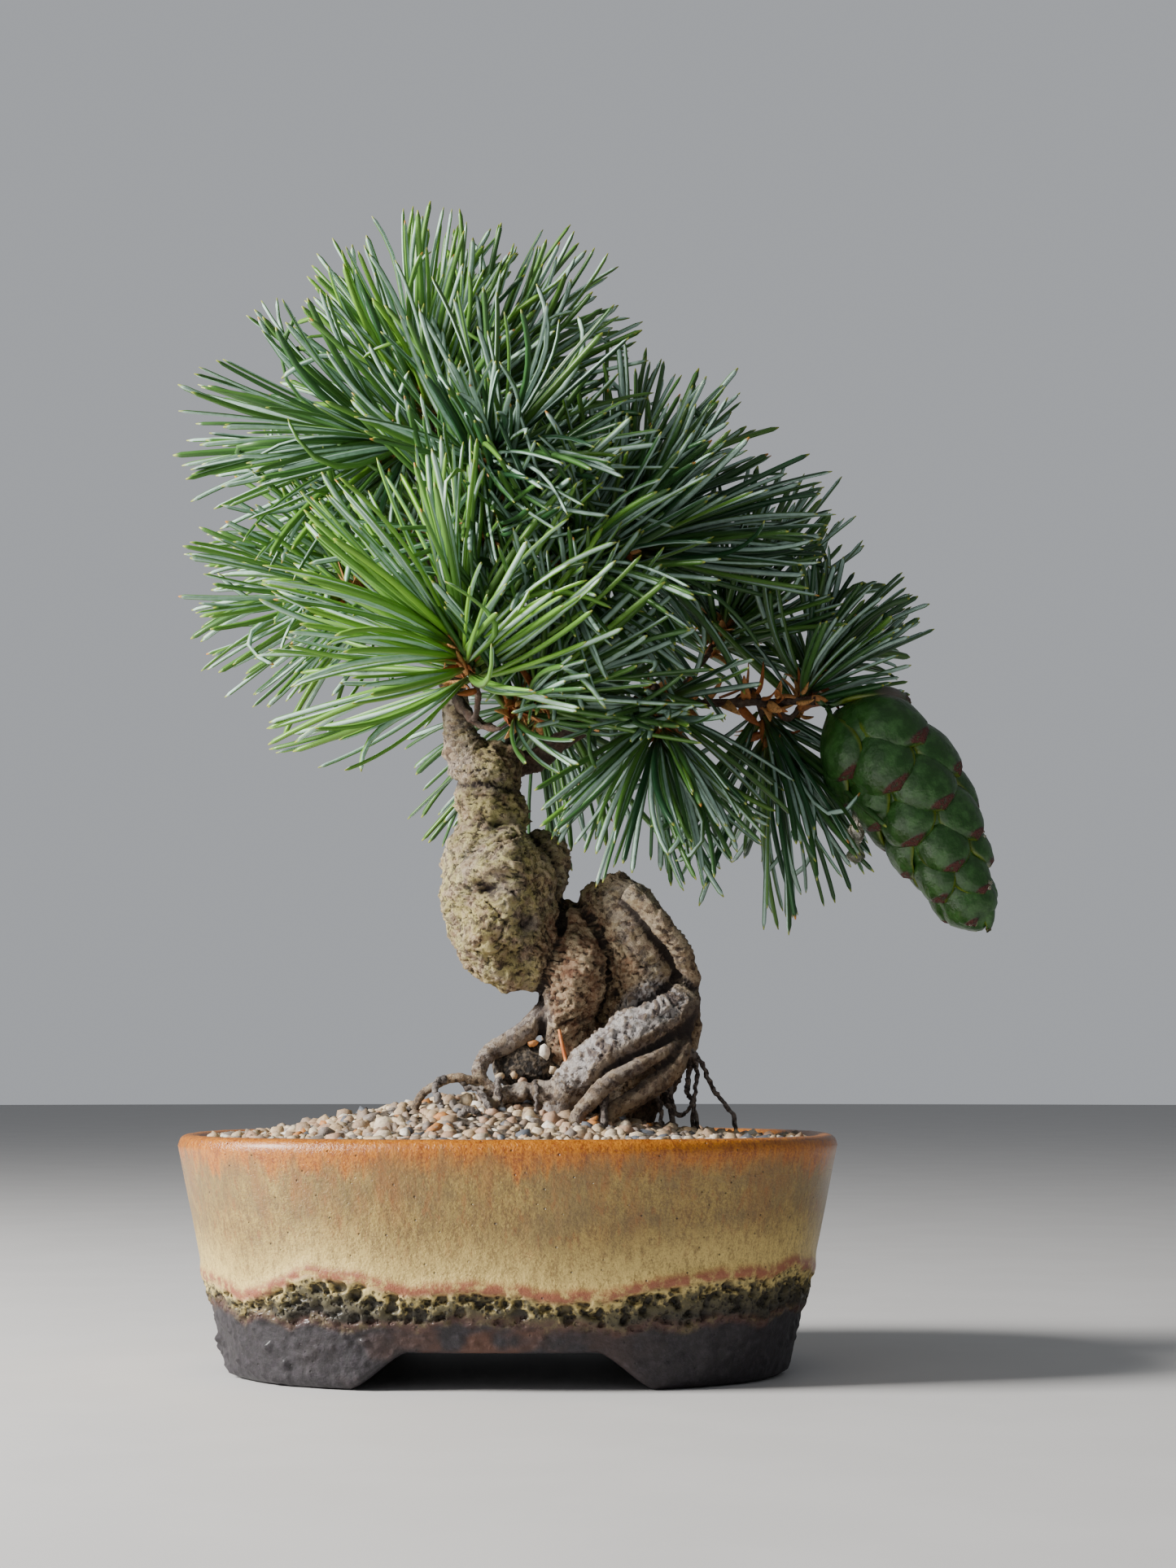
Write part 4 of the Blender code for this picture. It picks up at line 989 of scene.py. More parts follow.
TRUNK: dict[str, Limb] = {
    "main_fold": [(17, 1, -9, 8.0), (20.5, 3, 1, 9.0), (24.5, 4.5, 9, 9.2), (28.6, 5, 18, 10.8),
                  (28.8, 4, 28, 10.4),
                  (28.2, 2, 35, 9.2), (26.4, 1.5, 41, 9.0), (24.6, 1.5, 46.0, 9.2), (18.8, 2, 49.0, 5.7),
                  (14.8, 2, 49.4, 3.2)],
    "middle_strand": [(14.6, 1, 47.0, 4.0), (15.0, -2, 42.0, 5.0), (14.6, -4.5, 36.0, 6.0),
                      (13.6, -5, 31.4, 6.5),
                      (12.0, -4, 25.0, 6.3), (12.5, -2, 18.6, 5.6), (14, 0, 8, 6.5), (16, 1, -4, 6.5)],
    "left_lump": [(1.8, -4, 30.0, 3.6), (0.9, -4, 35.0, 7.2), (-0.3, -4, 41.0, 10.4), (-1.7, -3, 50.7, 13.0),
                  (-4.0, -2, 57.5, 11.4), (-4.5, 0, 64.0, 7.6)],
    "lump_bridge": [(-0.3, -3, 40, 9.0), (7.0, -2, 37, 8.0), (14.0, 0, 34, 7.0), (22, 4, 30, 8.0)],
    "back_fold": [(18, 10, -2, 7.0), (20, 12, 12, 7.5), (22, 12, 26, 7.5), (18, 9, 38, 7.0), (8, 5, 46, 7.0),
                  (0, 3, 52, 8.0)],
    "right_knob": [(2, 3, 60, 5.5), (7.2, 2, 59.8, 5.2), (7.8, 1, 55, 5.2), (6, 0, 49, 6.0)],
    "upper_trunk": [(-4.3, 0, 60, 8.2), (-4.1, 0, 69.9, 7.2), (-4.9, 0, 74.5, 7.0), (-5.4, 0, 77.0, 7.2),
                    (-7.6, 0, 81.0, 6.0)],
    "neck": [(-8.3, 0, 79.5, 5.8), (-10.6, -0.5, 84.5, 4.1), (-11.5, -0.5, 89.5, 3.2), (-13.0, 0, 97.0, 3.2)],
    "snapped_stub": [(-3.6, 1, 77.5, 5.6), (-1.7, 2, 83.2, 4.4)],
    "left_nub": [(-9.0, 0, 81.0, 4.4), (-14.9, -0.5, 82.6, 1.4)],
    "bark_cord": [(25.3, -7, 51.6, 2.3), (28.6, -7.5, 48.6, 2.6), (32.8, -7, 43.9, 2.7),
                  (36.6, -5.5, 39.2, 2.6),
                  (38.9, -3.5, 33.6, 2.5), (39.9, -2, 28.0, 2.4), (39.6, -0.5, 22.5, 2.2),
                  (39.2, 1, 17.5, 1.7)],
    "slanting_root": [(37.0, -2, 28.0, 5.5), (33.6, -6, 24.3, 5.2), (25.9, -10, 19.9, 5.6),
                      (19.5, -12, 16.0, 5.2),
                      (14.4, -12, 12.1, 4.0), (11.5, -12, 9.0, 3.2), (8.5, -11, -2.0, 2.6)],
    "upper_front_root": [(37.8, -7, 21.0, 2.0), (33.0, -12.5, 17.0, 1.9), (26.5, -16, 14.0, 1.9),
                         (20.8, -18, 10.6, 1.9), (17.3, -19, 7.0, 1.8), (14.5, -19, 3.5, 1.7),
                         (12.5, -19, -4.0, 1.5)],
    "lower_front_root": [(38.5, -5, 24.0, 1.8), (37.0, -10, 17.5, 2.2), (33.0, -13, 12.0, 2.4),
                         (27.5, -15.5, 8.0, 2.0),
                         (21.5, -17, 4.2, 1.8), (18.5, -17, -4.0, 1.5)],
    "right_flare": [(35.6, 4, 20.0, 4.8), (29.8, 5, 10.0, 4.6), (26.8, 5, 2.8, 4.8), (25.0, 5, -6.0, 4.4)],
    "back_root": [(16, 13, 10, 4.5), (8, 18, 5, 2.8), (2, 22, 1, 2.0), (-2, 25, -4, 1.5)],
    "left_loop": [(9.0, -3, 26.0, 4.5), (4.7, -5, 22.4, 2.8), (0.3, -7, 19.4, 2.3), (-4.4, -8, 16.8, 2.1),
                  (-6.2, -9, 12.9, 1.9), (-4.6, -10, 9.5, 2.1), (-0.8, -11, 8.0, 2.4)],
    "base_log": [(-0.8, -11, 8.0, 2.4), (5.5, -12, 9.2, 2.2), (12.0, -12, 8.2, 2.6), (17.0, -8, 6.0, 3.6)],
    "arched_root": [(-4.0, -9, 9.5, 1.7), (-6.3, -11, 10.6, 1.3), (-10.7, -12, 11.9, 1.2),
                    (-15.1, -12, 10.3, 1.1),
                    (-18.2, -12, 8.2, 1.1), (-20.3, -12, 3.6, 1.1), (-21.5, -12, -3.0, 1.0)],
    "short_front_root": [(-0.6, -12, 8.0, 2.0), (-1.9, -14, 7.0, 1.7), (-5.0, -16, 4.6, 1.6),
                         (-8.0, -18, 1.0, 1.4), (-10.0, -19, -3.0, 1.2)],
}
# The shade column is painted shade for limbs that lie in shadow, such as the right flare.
TONES: dict[str, Tone] = {
    "main_fold": Tone(rust=0.55, silver=0.05, lichen=0.1),
    "middle_strand": Tone(rust=0.7),
    "left_lump": Tone(lichen=0.95, silver=0.15),
    "lump_bridge": Tone(lichen=0.3, rust=0.5),
    "back_fold": Tone(lichen=0.3, rust=0.3),
    "right_knob": Tone(lichen=0.5, silver=0.2),
    "upper_trunk": Tone(lichen=0.9, silver=0.1),
    "neck": Tone(lichen=0.6, silver=0.35),
    "snapped_stub": Tone(rust=0.3, lichen=0.2, shade=0.2),
    "left_nub": Tone(silver=0.4),
    "bark_cord": Tone(silver=0.25, lichen=0.2),
    "slanting_root": Tone(silver=1.0),
    "upper_front_root": Tone(silver=0.35, shade=0.25),
    "lower_front_root": Tone(silver=0.15, shade=0.5),
    "right_flare": Tone(shade=0.6, rust=0.4),
    "left_loop": Tone(silver=0.5, shade=0.2),
    "base_log": Tone(silver=0.5, shade=0.1),
    "arched_root": Tone(silver=0.25, shade=0.25),
    "short_front_root": Tone(silver=0.45),
}
FUSED = ("main_fold", "middle_strand", "left_lump", "right_knob", "bark_cord", "slanting_root",
         "upper_front_root", "lower_front_root", "left_loop")
BRANCHES: dict[str, Limb] = {
    "leader": [(-11.6, -0.4, 90.5, 3.2), (-12.5, 0, 93.8, 3.4), (-13.9, 0, 100.9, 3.0),
               (-15.2, 1, 114.3, 2.5),
               (-15.9, 2, 128.6, 2.1), (-16.7, 1, 139.0, 1.8), (-17.3, 0, 146.0, 1.5)],
    "long_branch": [(-3.0, 3, 79.5, 4.3), (4.5, 4, 81.0, 3.5), (11.1, 3, 85.2, 2.8), (20.0, 1, 90.2, 2.5),
                    (32.3, 0, 92.8, 2.1), (48.2, 0, 93.1, 1.8), (60.0, -1, 93.6, 1.6), (67.0, -3, 93.4, 1.9)],
}


@dataclass(frozen=True)
class Shoot:
    """A needled shoot: where its heart is, the way it points, and how its needles stand."""

    heart: tuple[float, float, float]
    aim: tuple[float, float, float]
    share: float
    twig: Limb
    # How bright the tuft's needles are: partly young growth, partly painted light, mostly higher on the left
    # where the light comes from.
    fresh_and_lit: float = 0.3
    spread: float = 100.0
    bundles: int = 32


SHOOTS: dict[str, Shoot] = {
    "apex": Shoot((-18.3, -1, 161), (-0.1, -0.1, 1.0), 0.92, [(-17.2, 0, 143, 1.6)], 0.75, 62, 26),
    "apex_right": Shoot((-8.9, 7, 162.2), (0.75, 0.0, 0.65), 0.96,
                        [(-17.0, 1, 141, 1.6), (-17.5, 5, 149, 1.3)], 0.4, 66, 22),
    "upper_left": Shoot((-26.5, -3.5, 150.5), (-1.0, -0.2, 0.15), 1.02, [(-17.0, 0, 143, 1.5)], 0.35, 66, 23),
    "left": Shoot((-36.0, 6, 119.0), (-0.8, -0.55, 0.05), 0.84,
                  [(-14.4, 0, 104.4, 1.9), (-20.5, 6, 110, 1.6)], 0.5, 85, 22),
    "left_high": Shoot((-34.0, 19, 128.0), (-0.6, 0.1, 0.6), 0.9,
                       [(-18.5, 4.5, 108, 1.5), (-23.5, 12, 114.5, 1.3)], 0.55, 85, 20),
    "front_low": Shoot((-9.3, -31, 100.1), (-0.30, -0.35, 0.80), 1.04,
                       [(-13.2, 0, 97.0, 2.0), (-8.0, -14, 88.0, 1.5)], 0.95, 96, 38),
    "front_centre": Shoot((5.5, -24, 92.0), (0.6, -0.3, 0.6), 0.9,
                          [(-13.0, 0, 95.5, 2.1), (-7.0, -10, 88.0, 1.7)], 0.3, 80, 22),
    "centre": Shoot((-4.5, -16, 129.5), (0.3, -0.6, 0.6), 0.95, [(-15.6, 1, 118, 1.7)], 0.3, 88, 21),
    "front_mid": Shoot((-3.9, -24, 141.5), (0.3, -0.8, 0.4), 0.95,
                       [(-16.1, 2, 131, 1.6), (-12.0, -7, 134.5, 1.3)], 0.25, 88, 20),
    "right_upper": Shoot((23.2, 4, 132.5), (0.25, -0.1, 0.9), 0.95,
                         [(-15.5, 2, 118, 2.0), (-3.1, 4, 121.0, 1.8), (10.2, 4.5, 120.5, 1.6)], 0.3, 72, 24),
    "right_side": Shoot((26.1, -6, 125.9), (1.0, -0.2, 0.1), 1.0, [(8.0, 4.4, 120.6, 1.5)], 0.12, 70, 20),
    "right_mid": Shoot((47.9, 18, 112.9), (0.5, 0.1, 0.8), 0.9,
                       [(30.6, 0, 92.8, 1.8), (37.0, 8, 97.0, 1.5)], 0.2, 75, 20),
    "right_hang": Shoot((32.4, -12, 86.7), (0.05, -0.5, -0.85), 0.84,
                        [(30.5, 0, 92.6, 1.7), (31.4, -3, 96.0, 1.3)], 0.25, 75, 22),
    "far_right": Shoot((66.8, 4, 99.0), (0.5, 0.0, 0.85), 0.63,
                       [(56.0, -0.5, 93.4, 1.6), (58.5, 1.5, 91.5, 1.3)], 0.2, 66, 24),
    "far_right_hang": Shoot((56.5, 6, 86.5), (0.25, 0.0, -0.97), 0.95,
                            [(49.0, 0, 93.1, 1.5), (51.5, 3.5, 95.8, 1.3)], 0.12, 60, 16),
    "back_left": Shoot((-28.8, 36, 137.9), (-0.4, 0.9, 0.2), 0.9,
                       [(-15.4, 2, 120, 1.8), (-20.0, 14, 129, 1.5)], 0.4, 90, 20),
    "back_centre": Shoot((-5.6, 35, 147.0), (0.1, 0.95, 0.4), 0.9,
                         [(-16.1, 2, 131, 1.7), (-12.0, 13, 137, 1.4)], 0.35, 90, 20),
    "back_right": Shoot((21.3, 36, 118.8), (0.4, 0.85, 0.1), 0.95,
                        [(5.0, 4.3, 121, 1.6), (12.0, 15, 119.5, 1.3)], 0.2, 90, 20),
    "back_low": Shoot((6.1, 30, 94.2), (0.1, 0.8, -0.4), 0.9,
                      [(-1.0, 4, 82.5, 2.0), (1.5, 13, 92, 1.6)], 0.3, 88, 19),
    "mid_right": Shoot((12.4, -20, 118.5), (0.3, -0.7, 0.3), 0.9,
                       [(2.0, 4.2, 121, 1.5), (6.0, -3, 117.0, 1.3)], 0.25, 88, 20),
}
COLLARED = ("apex", "left", "front_low", "front_centre", "centre", "right_upper", "right_hang")


@dataclass
class Wood:
    """The folded trunk with its roots, and the branches and twigs: grown as solids, then barked."""

    datum: Datum
    trunk_voxel: float = 0.46
    branch_voxel: float = 0.5
    twig_tip: float = 1.1
    twig_short_of_heart: float = 2.0
    crease_height: float = 74.4
    out_of_reach: float = 99.0
    knot_rows: tuple[tuple[float, float, float, float, float], ...] = (
        (-4.5, 51.8, 3.4, 1.7, -2.4), (-4.8, 55.6, 5.0, 1.9, 1.1), (4.6, 44.0, 2.2, 3.4, -1.5),
        (-6.5, 42.0, 3.0, 3.0, 0.9),
        (1.5, 37.0, 3.2, 1.6, -1.2), (-2.5, 65.5, 2.2, 1.7, -1.3))

    def twig(self, shoot: Shoot) -> Limb:
        """A twig's points, on to its tuft's heart."""
        heart = np.array(shoot.heart)
        aim = unit(np.array(shoot.aim))
        ends = [tuple(heart - aim * behind) + (self.twig_tip,) for behind in (10.0, self.twig_short_of_heart)]
        return [*shoot.twig, *ends]

    def routes(self, limbs: dict[str, Limb]) -> dict[str, np.ndarray]:
        """Each limb as a smooth route, with the foot as zero height."""
        made = {}
        for name, limb in limbs.items():
            route = smooth_route(limb)
            route[:, :3] = self.datum.above_rim(route[:, :3])
            made[name] = route
        return made

    def grown(self, name: str, routes: dict[str, np.ndarray], voxel: float) -> bpy.types.Mesh:
        """One closed skin round all the limbs' tubes."""
        return baked(tubes(name, list(routes.values()), 6), "REMESH", mode="VOXEL", voxel_size=voxel,
                     adaptivity=0.0, use_smooth_shade=True)

    def along_limbs(self, places: np.ndarray, routes: dict[str, np.ndarray]) -> tuple[np.ndarray, ...]:
        """What the nearest limb is like at each place.

        Args:
            places: the places to look up.
            routes: the limbs' routes.

        Returns:
            The nearest limb's number, its direction there and its radius there.
        """
        tree = kdtree.KDTree(sum(len(route) for route in routes.values()))
        numbers, ways, sizes = [], [], []
        for number, route in enumerate(routes.values()):
            way = unit(np.gradient(route[:, :3], axis=0))
            for place, direction, radius in zip(route[:, :3], way, route[:, 3]):
                tree.insert(place, len(numbers))
                numbers.append(number)
                ways.append(direction)
                sizes.append(radius)
        tree.balance()
        found = np.array([tree.find(place)[1] for place in places])
        return np.array(numbers)[found], np.array(ways)[found], np.array(sizes)[found]

    def seams(self, places: np.ndarray, routes: dict[str, np.ndarray]) -> np.ndarray:
        """Where two of the fused strands meet: 1 on the seam, down to 0 beside it.

        Args:
            places: places on the wood's surface.
            routes: the limbs' routes.

        Returns:
            A number per place. It is 1 all over when none of the limbs is a fused strand.
        """
        nearest = np.full(len(places), self.out_of_reach)
        second = np.full(len(places), self.out_of_reach)
        for name in FUSED:
            if name not in routes:
                continue
            away = np.full(len(places), self.out_of_reach)
            for x, y, z, radius in routes[name]:
                away = np.minimum(away, np.linalg.norm(places - [x, y, z], axis=1) - radius)
            second = np.where(away < nearest, nearest, np.minimum(second, away))
            nearest = np.minimum(nearest, away)
        return ease(second - nearest, 1.7, 0.1)

    def knots(self, places: np.ndarray, outward: np.ndarray) -> np.ndarray:
        """Brows and sunken eyes on the trunk's front.

        Args:
            places: places on the wood's surface, with the rim as zero height.
            outward: the surface's direction at each place.

        Returns:
            How far each place stands out, in millimetres.
        """
        height = places[:, 2] - self.datum.rim
        rise = np.zeros(len(places))
        for across, up, half_width, half_height, stands in self.knot_rows:
            reach = ((places[:, 0] - across) / half_width) ** 2 + ((height - up) / half_height) ** 2
            rise += stands * np.exp(-reach)
        return rise * ease(-outward[:, 1], 0.0, 0.6)

    @staticmethod
    def layered(values: np.ndarray, layers: int) -> np.ndarray:
        """Soft hills cut into flat layers with steep ragged edges, as flaking bark lies."""
        scaled = values * layers
        level = np.floor(scaled)
        return (level + ease(scaled - level, 0.5, 0.95)) / layers

    def barked(self, mesh: bpy.types.Mesh, routes: dict[str, np.ndarray], strength: float) -> None:
        """Raises lumps, plates, flakes and cracks on a limb mesh and keeps the numbers its finish reads."""
        edges = ends_of_edges(mesh)
        places = spread(coordinates(mesh), edges, 2)
        limb, way, radius = self.along_limbs(places, routes)
        way = unit(spread(way, edges, 6))
        size = np.clip(spread(radius, edges, 8) / 6.0, 0.12, 1.0) * strength
        warped = places + 1.6 * np.stack([Pattern.smooth(places, 4.0, seed) for seed in (1, 2, 3)], axis=1)
        warped -= 0.45 * way * np.sum(warped * way, axis=1)[:, None]
        outward = normals(mesh)
        streak = Pattern.fractal(places - 0.82 * way * np.sum(places * way, axis=1)[:, None], 1.7, 3, 90)
        relief = 1.3 * Pattern.fractal(places, 11.0, 2, 40) + 0.5 * streak
        relief += 0.9 * self.layered(Pattern.fractal(warped, 5.0, 4, 41), 7)
        relief += 0.55 * self.layered(Pattern.fractal(warped, 2.4, 3, 42), 5)
        for spacing, depth, seed in ((5.2, 0.5, 43), (2.6, 0.32, 44)):
            relief -= depth * ease(np.abs(Pattern.fractal(warped, spacing, 3, seed)), 0.08, 0.0)
        first, second, draw = Pattern.cells(warped, 1.7, 71)
        relief += 0.5 * draw * ease(second - first, 0.0, 0.3) + 0.25 * Pattern.fractal(places, 1.0, 2, 70)
        crease = np.exp(-((places[:, 2] - self.datum.rim - self.crease_height + 0.12 * (places[:, 0] + 5)
                           + Pattern.smooth(places, 5.0, 73)) / 1.1) ** 2) * ease(places[:, 0], 8.0, 0.0)
        seam = spread(self.seams(places, routes), edges, 2) * (0.65 + 0.35 * Pattern.smooth(places, 4.0, 74))
        knots = self.knots(places, outward)
        lumps = 2.2 * Pattern.fractal(places, 8.0, 2, 75) * ease(size, 0.9, 1.0) + 1.3 * knots
        move_vertices(mesh, places + outward * ((relief + lumps - 0.25) * size - 1.1 * crease
                                                - 1.7 * seam * np.minimum(size * 1.6, 1.0))[:, None])
        hollow = 0.35 * hollowness(mesh, 4, 0.18) + 0.8 * hollowness(mesh, 24, 0.9)
        note(mesh, "streak", streak)
        note(mesh, "hollow", np.clip(hollow, -1, 1))
        names = list(routes)
        # Painted shade: the ring crease, the seams between fused strands and the knots' eyes are darkened,
        # and limbs missing from TONES get a painted shade of 0.25; on the branches the seam term is 1 all
        # over.
        sunken = 0.75 * crease + 0.7 * seam + 0.75 * np.clip(-knots / 2.0, 0, 1)
        for key in ("lichen", "silver", "rust", "shade"):
            table = np.array([getattr(TONES.get(name, Tone(rust=0.8, shade=0.25)), key) for name in names])
            level = spread(table[limb], edges, 10)
            patchy = np.clip(level + 0.35 * Pattern.fractal(places, 6.0, 2, 80), 0, 1) * ease(level, 0.0, 0.1)
            note(mesh, key, np.clip(patchy + sunken * (key == "shade"), 0, 1))

    def build(self) -> list[bpy.types.Object]:
        """The two bark pieces: trunk and roots, then branches and twigs."""
        trunk = self.routes(TRUNK)
        branches = self.routes({**BRANCHES, **{name: self.twig(shoot) for name, shoot in SHOOTS.items()}})
        made = []
        for kind, routes, voxel, strength, stands_for in (
                (Bark.TRUNK, trunk, self.trunk_voxel, 1.0, ("wood",)),
                (Bark.BRANCH, branches, self.branch_voxel, 1.15, ())):
            mesh = self.grown(kind.value, routes, voxel)
            self.barked(mesh, routes, strength)
            move_vertices(mesh, self.datum.to_frame(coordinates(mesh)))
            made.append(piece(kind.value, mesh, BarkFinish.of(kind).make(), stands_for))
        return made


@dataclass
class FineRoots:
    """Thin bare roots round the trunk's foot, the dark clump in the left loop and a dead needle."""

    datum: Datum
    kink: float = 0.45
    clump_middle: tuple[float, float, float] = (4.6, -4.0, 14.0)
    clump_size: tuple[float, float, float] = (7.6, 4.6, 5.4)
    seed: int = 61
    roots: tuple[Limb, ...] = (
        [(39.0, 0, 20.0, 0.9), (39.6, 0, 17.4, 0.7), (41.4, 1, 14.8, 0.55), (43.7, 1.5, 9.8, 0.5),
         (46.5, 2, 6.1, 0.5),
         (48.5, 2, 3.0, 0.45), (48.9, 2, -3.0, 0.4)],
        [(38.4, -1, 19.0, 0.9), (38.9, -1, 14.8, 0.7), (38.4, -1, 11.5, 0.6), (38.3, -2, 8.6, 0.55),
         (39.5, -2, 5.3, 0.5), (38.8, -2, -3.0, 0.4)],
        [(38.9, 0, 18.0, 0.7), (40.4, -1, 13.1, 0.5), (40.1, -1, 9.2, 0.45), (39.7, -1, 5.3, 0.45),
         (41.6, -1, -3.0, 0.35)],
        [(34.2, 0, 13.0, 0.9), (34.6, -2, 7.4, 0.7), (35.8, -3, 4.2, 0.55), (37.8, -2, 4.1, 0.45),
         (39.2, -2, 6.0, 0.4)],
        [(32.4, -2, 11.0, 0.9), (33.6, -4, 7.0, 0.7), (34.4, -4, 4.6, 0.6), (36.4, -4, -2.0, 0.5)],
        [(30.8, -5, 9.0, 0.8), (32.4, -7, 4.6, 0.6), (33.0, -7, -2.0, 0.5)],
        [(-12.4, -12, 11.6, 0.9), (-14.9, -13, 11.2, 0.8), (-15.4, -14, 9.2, 0.7), (-14.3, -15, 6.4, 0.7),
         (-12.9, -15, 3.4, 0.6), (-12.2, -15, -2.0, 0.5)],
        [(-10.4, -11, 12.1, 0.8), (-8.6, -12, 9.8, 0.6), (-5.2, -13, 9.4, 0.55)],
        [(-2.0, -13, 11.4, 0.8), (-1.9, -14.6, 8.4, 0.7), (-1.4, -15.5, 5.0, 0.6), (-1.0, -16, -2.0, 0.5)],
        [(5.8, -13, 11.0, 0.5), (6.1, -15, 8.8, 0.45), (5.9, -15.4, 5.0, 0.4), (5.6, -15, -2.0, 0.35)],
        [(20.6, -17, 8.4, 0.9), (20.4, -19.4, 4.8, 0.8), (20.0, -20, -2.0, 0.6)],
        [(-5.6, -14, 8.6, 0.8), (-4.0, -18, 6.2, 0.7), (-2.2, -20, 3.4, 0.6), (0.5, -22, -1.0, 0.5)],
        [(-8.6, -19, 1.0, 0.6), (-9.8, -21, 3.8, 0.7), (-7.8, -22, 5.2, 0.7), (-5.4, -22, 3.6, 0.6),
         (-5.8, -22, -1.0, 0.5)],
        [(-25.0, -14, 4.4, 0.4), (-23.0, -14, 5.2, 0.5), (-20.6, -13, 5.0, 0.4)])

    def kinked(self, limb: Limb, rng: np.random.Generator) -> np.ndarray:
        """A root's route with small kinks and swellings, with the foot as zero height."""
        route = smooth_route(limb, 9)
        route[:, :3] = self.datum.above_rim(route[:, :3])
        jitter = rng.normal(0, self.kink, (len(route), 3))
        jitter[1:] = 0.55 * jitter[1:] + 0.45 * jitter[:-1]
        route[1:-1, :3] += jitter[1:-1] * np.minimum(1.0, route[1:-1, 3:] / 0.6) * 0.5
        route[:, 3] *= rng.uniform(0.8, 1.25, len(route))
        return route

    def plain_notes(self, mesh: bpy.types.Mesh) -> None:
        """Numbers that the bark finish reads, for a mesh with no hollows or lichen of its own."""
        places = coordinates(mesh)
        for name in ("lichen", "rust", "shade", "streak", "hollow"):
            note(mesh, name, np.zeros(len(places)))
        note(mesh, "silver", np.clip(0.5 * Pattern.fractal(places, 4.0, 2, 64) + 0.15, 0, 1))

    def build(self) -> list[bpy.types.Object]:
        """The roots, the clump and the needle."""
        rng = np.random.default_rng(self.seed)
        mesh = tubes(Bark.ROOT.value, [self.kinked(limb, rng) for limb in self.roots], 2)
        self.plain_notes(mesh)
        move_vertices(mesh, self.datum.to_frame(coordinates(mesh)))
        mesh.shade_smooth()
        made = [piece(Bark.ROOT.value, mesh, BarkFinish.of(Bark.ROOT).make())]
        bm = bmesh.new()
        bmesh.ops.create_icosphere(bm, subdivisions=6, radius=1.0)
        clump = mesh_from(bm, "root_clump")
        places = coordinates(clump)
        outward = places.copy()
        places = places * self.clump_size
        _, second, draw = Pattern.cells(places, 2.4, 66)
        rough = 1.3 * Pattern.fractal(places, 5.0, 4, 65) + 0.9 * draw - 0.5 * second
        places = self.datum.above_rim(places + outward * rough[:, None] + self.clump_middle)
        move_vertices(clump, self.datum.to_frame(places))
        earth = PlainFinish("rooty_earth", (0.012, 0.009, 0.007), (0.11, 0.085, 0.060), 1.1, 0.95, 1.0)
        made.append(piece("root_clump", clump, earth.make()))
        fallen = smooth_route([(10.8, -11.6, 22.0, 0.34), (11.4, -12.0, 19.0, 0.42),
                               (12.2, -12.2, 15.6, 0.42),
                               (12.5, -13.6, 13.6, 0.2)])
        fallen[:, :3] = self.datum.to_frame(self.datum.above_rim(fallen[:, :3]))
        fallen[:, 3] *= MM
        straw = PlainFinish("dead_needle", (0.50, 0.13, 0.03), (0.62, 0.24, 0.07), 2.0, 0.5, 0.05)
        made.append(piece("dead_needle", tubes("dead_needle", [fallen], 1), straw.make()))
        return made


# ---------------------------------------------------------------- foliage


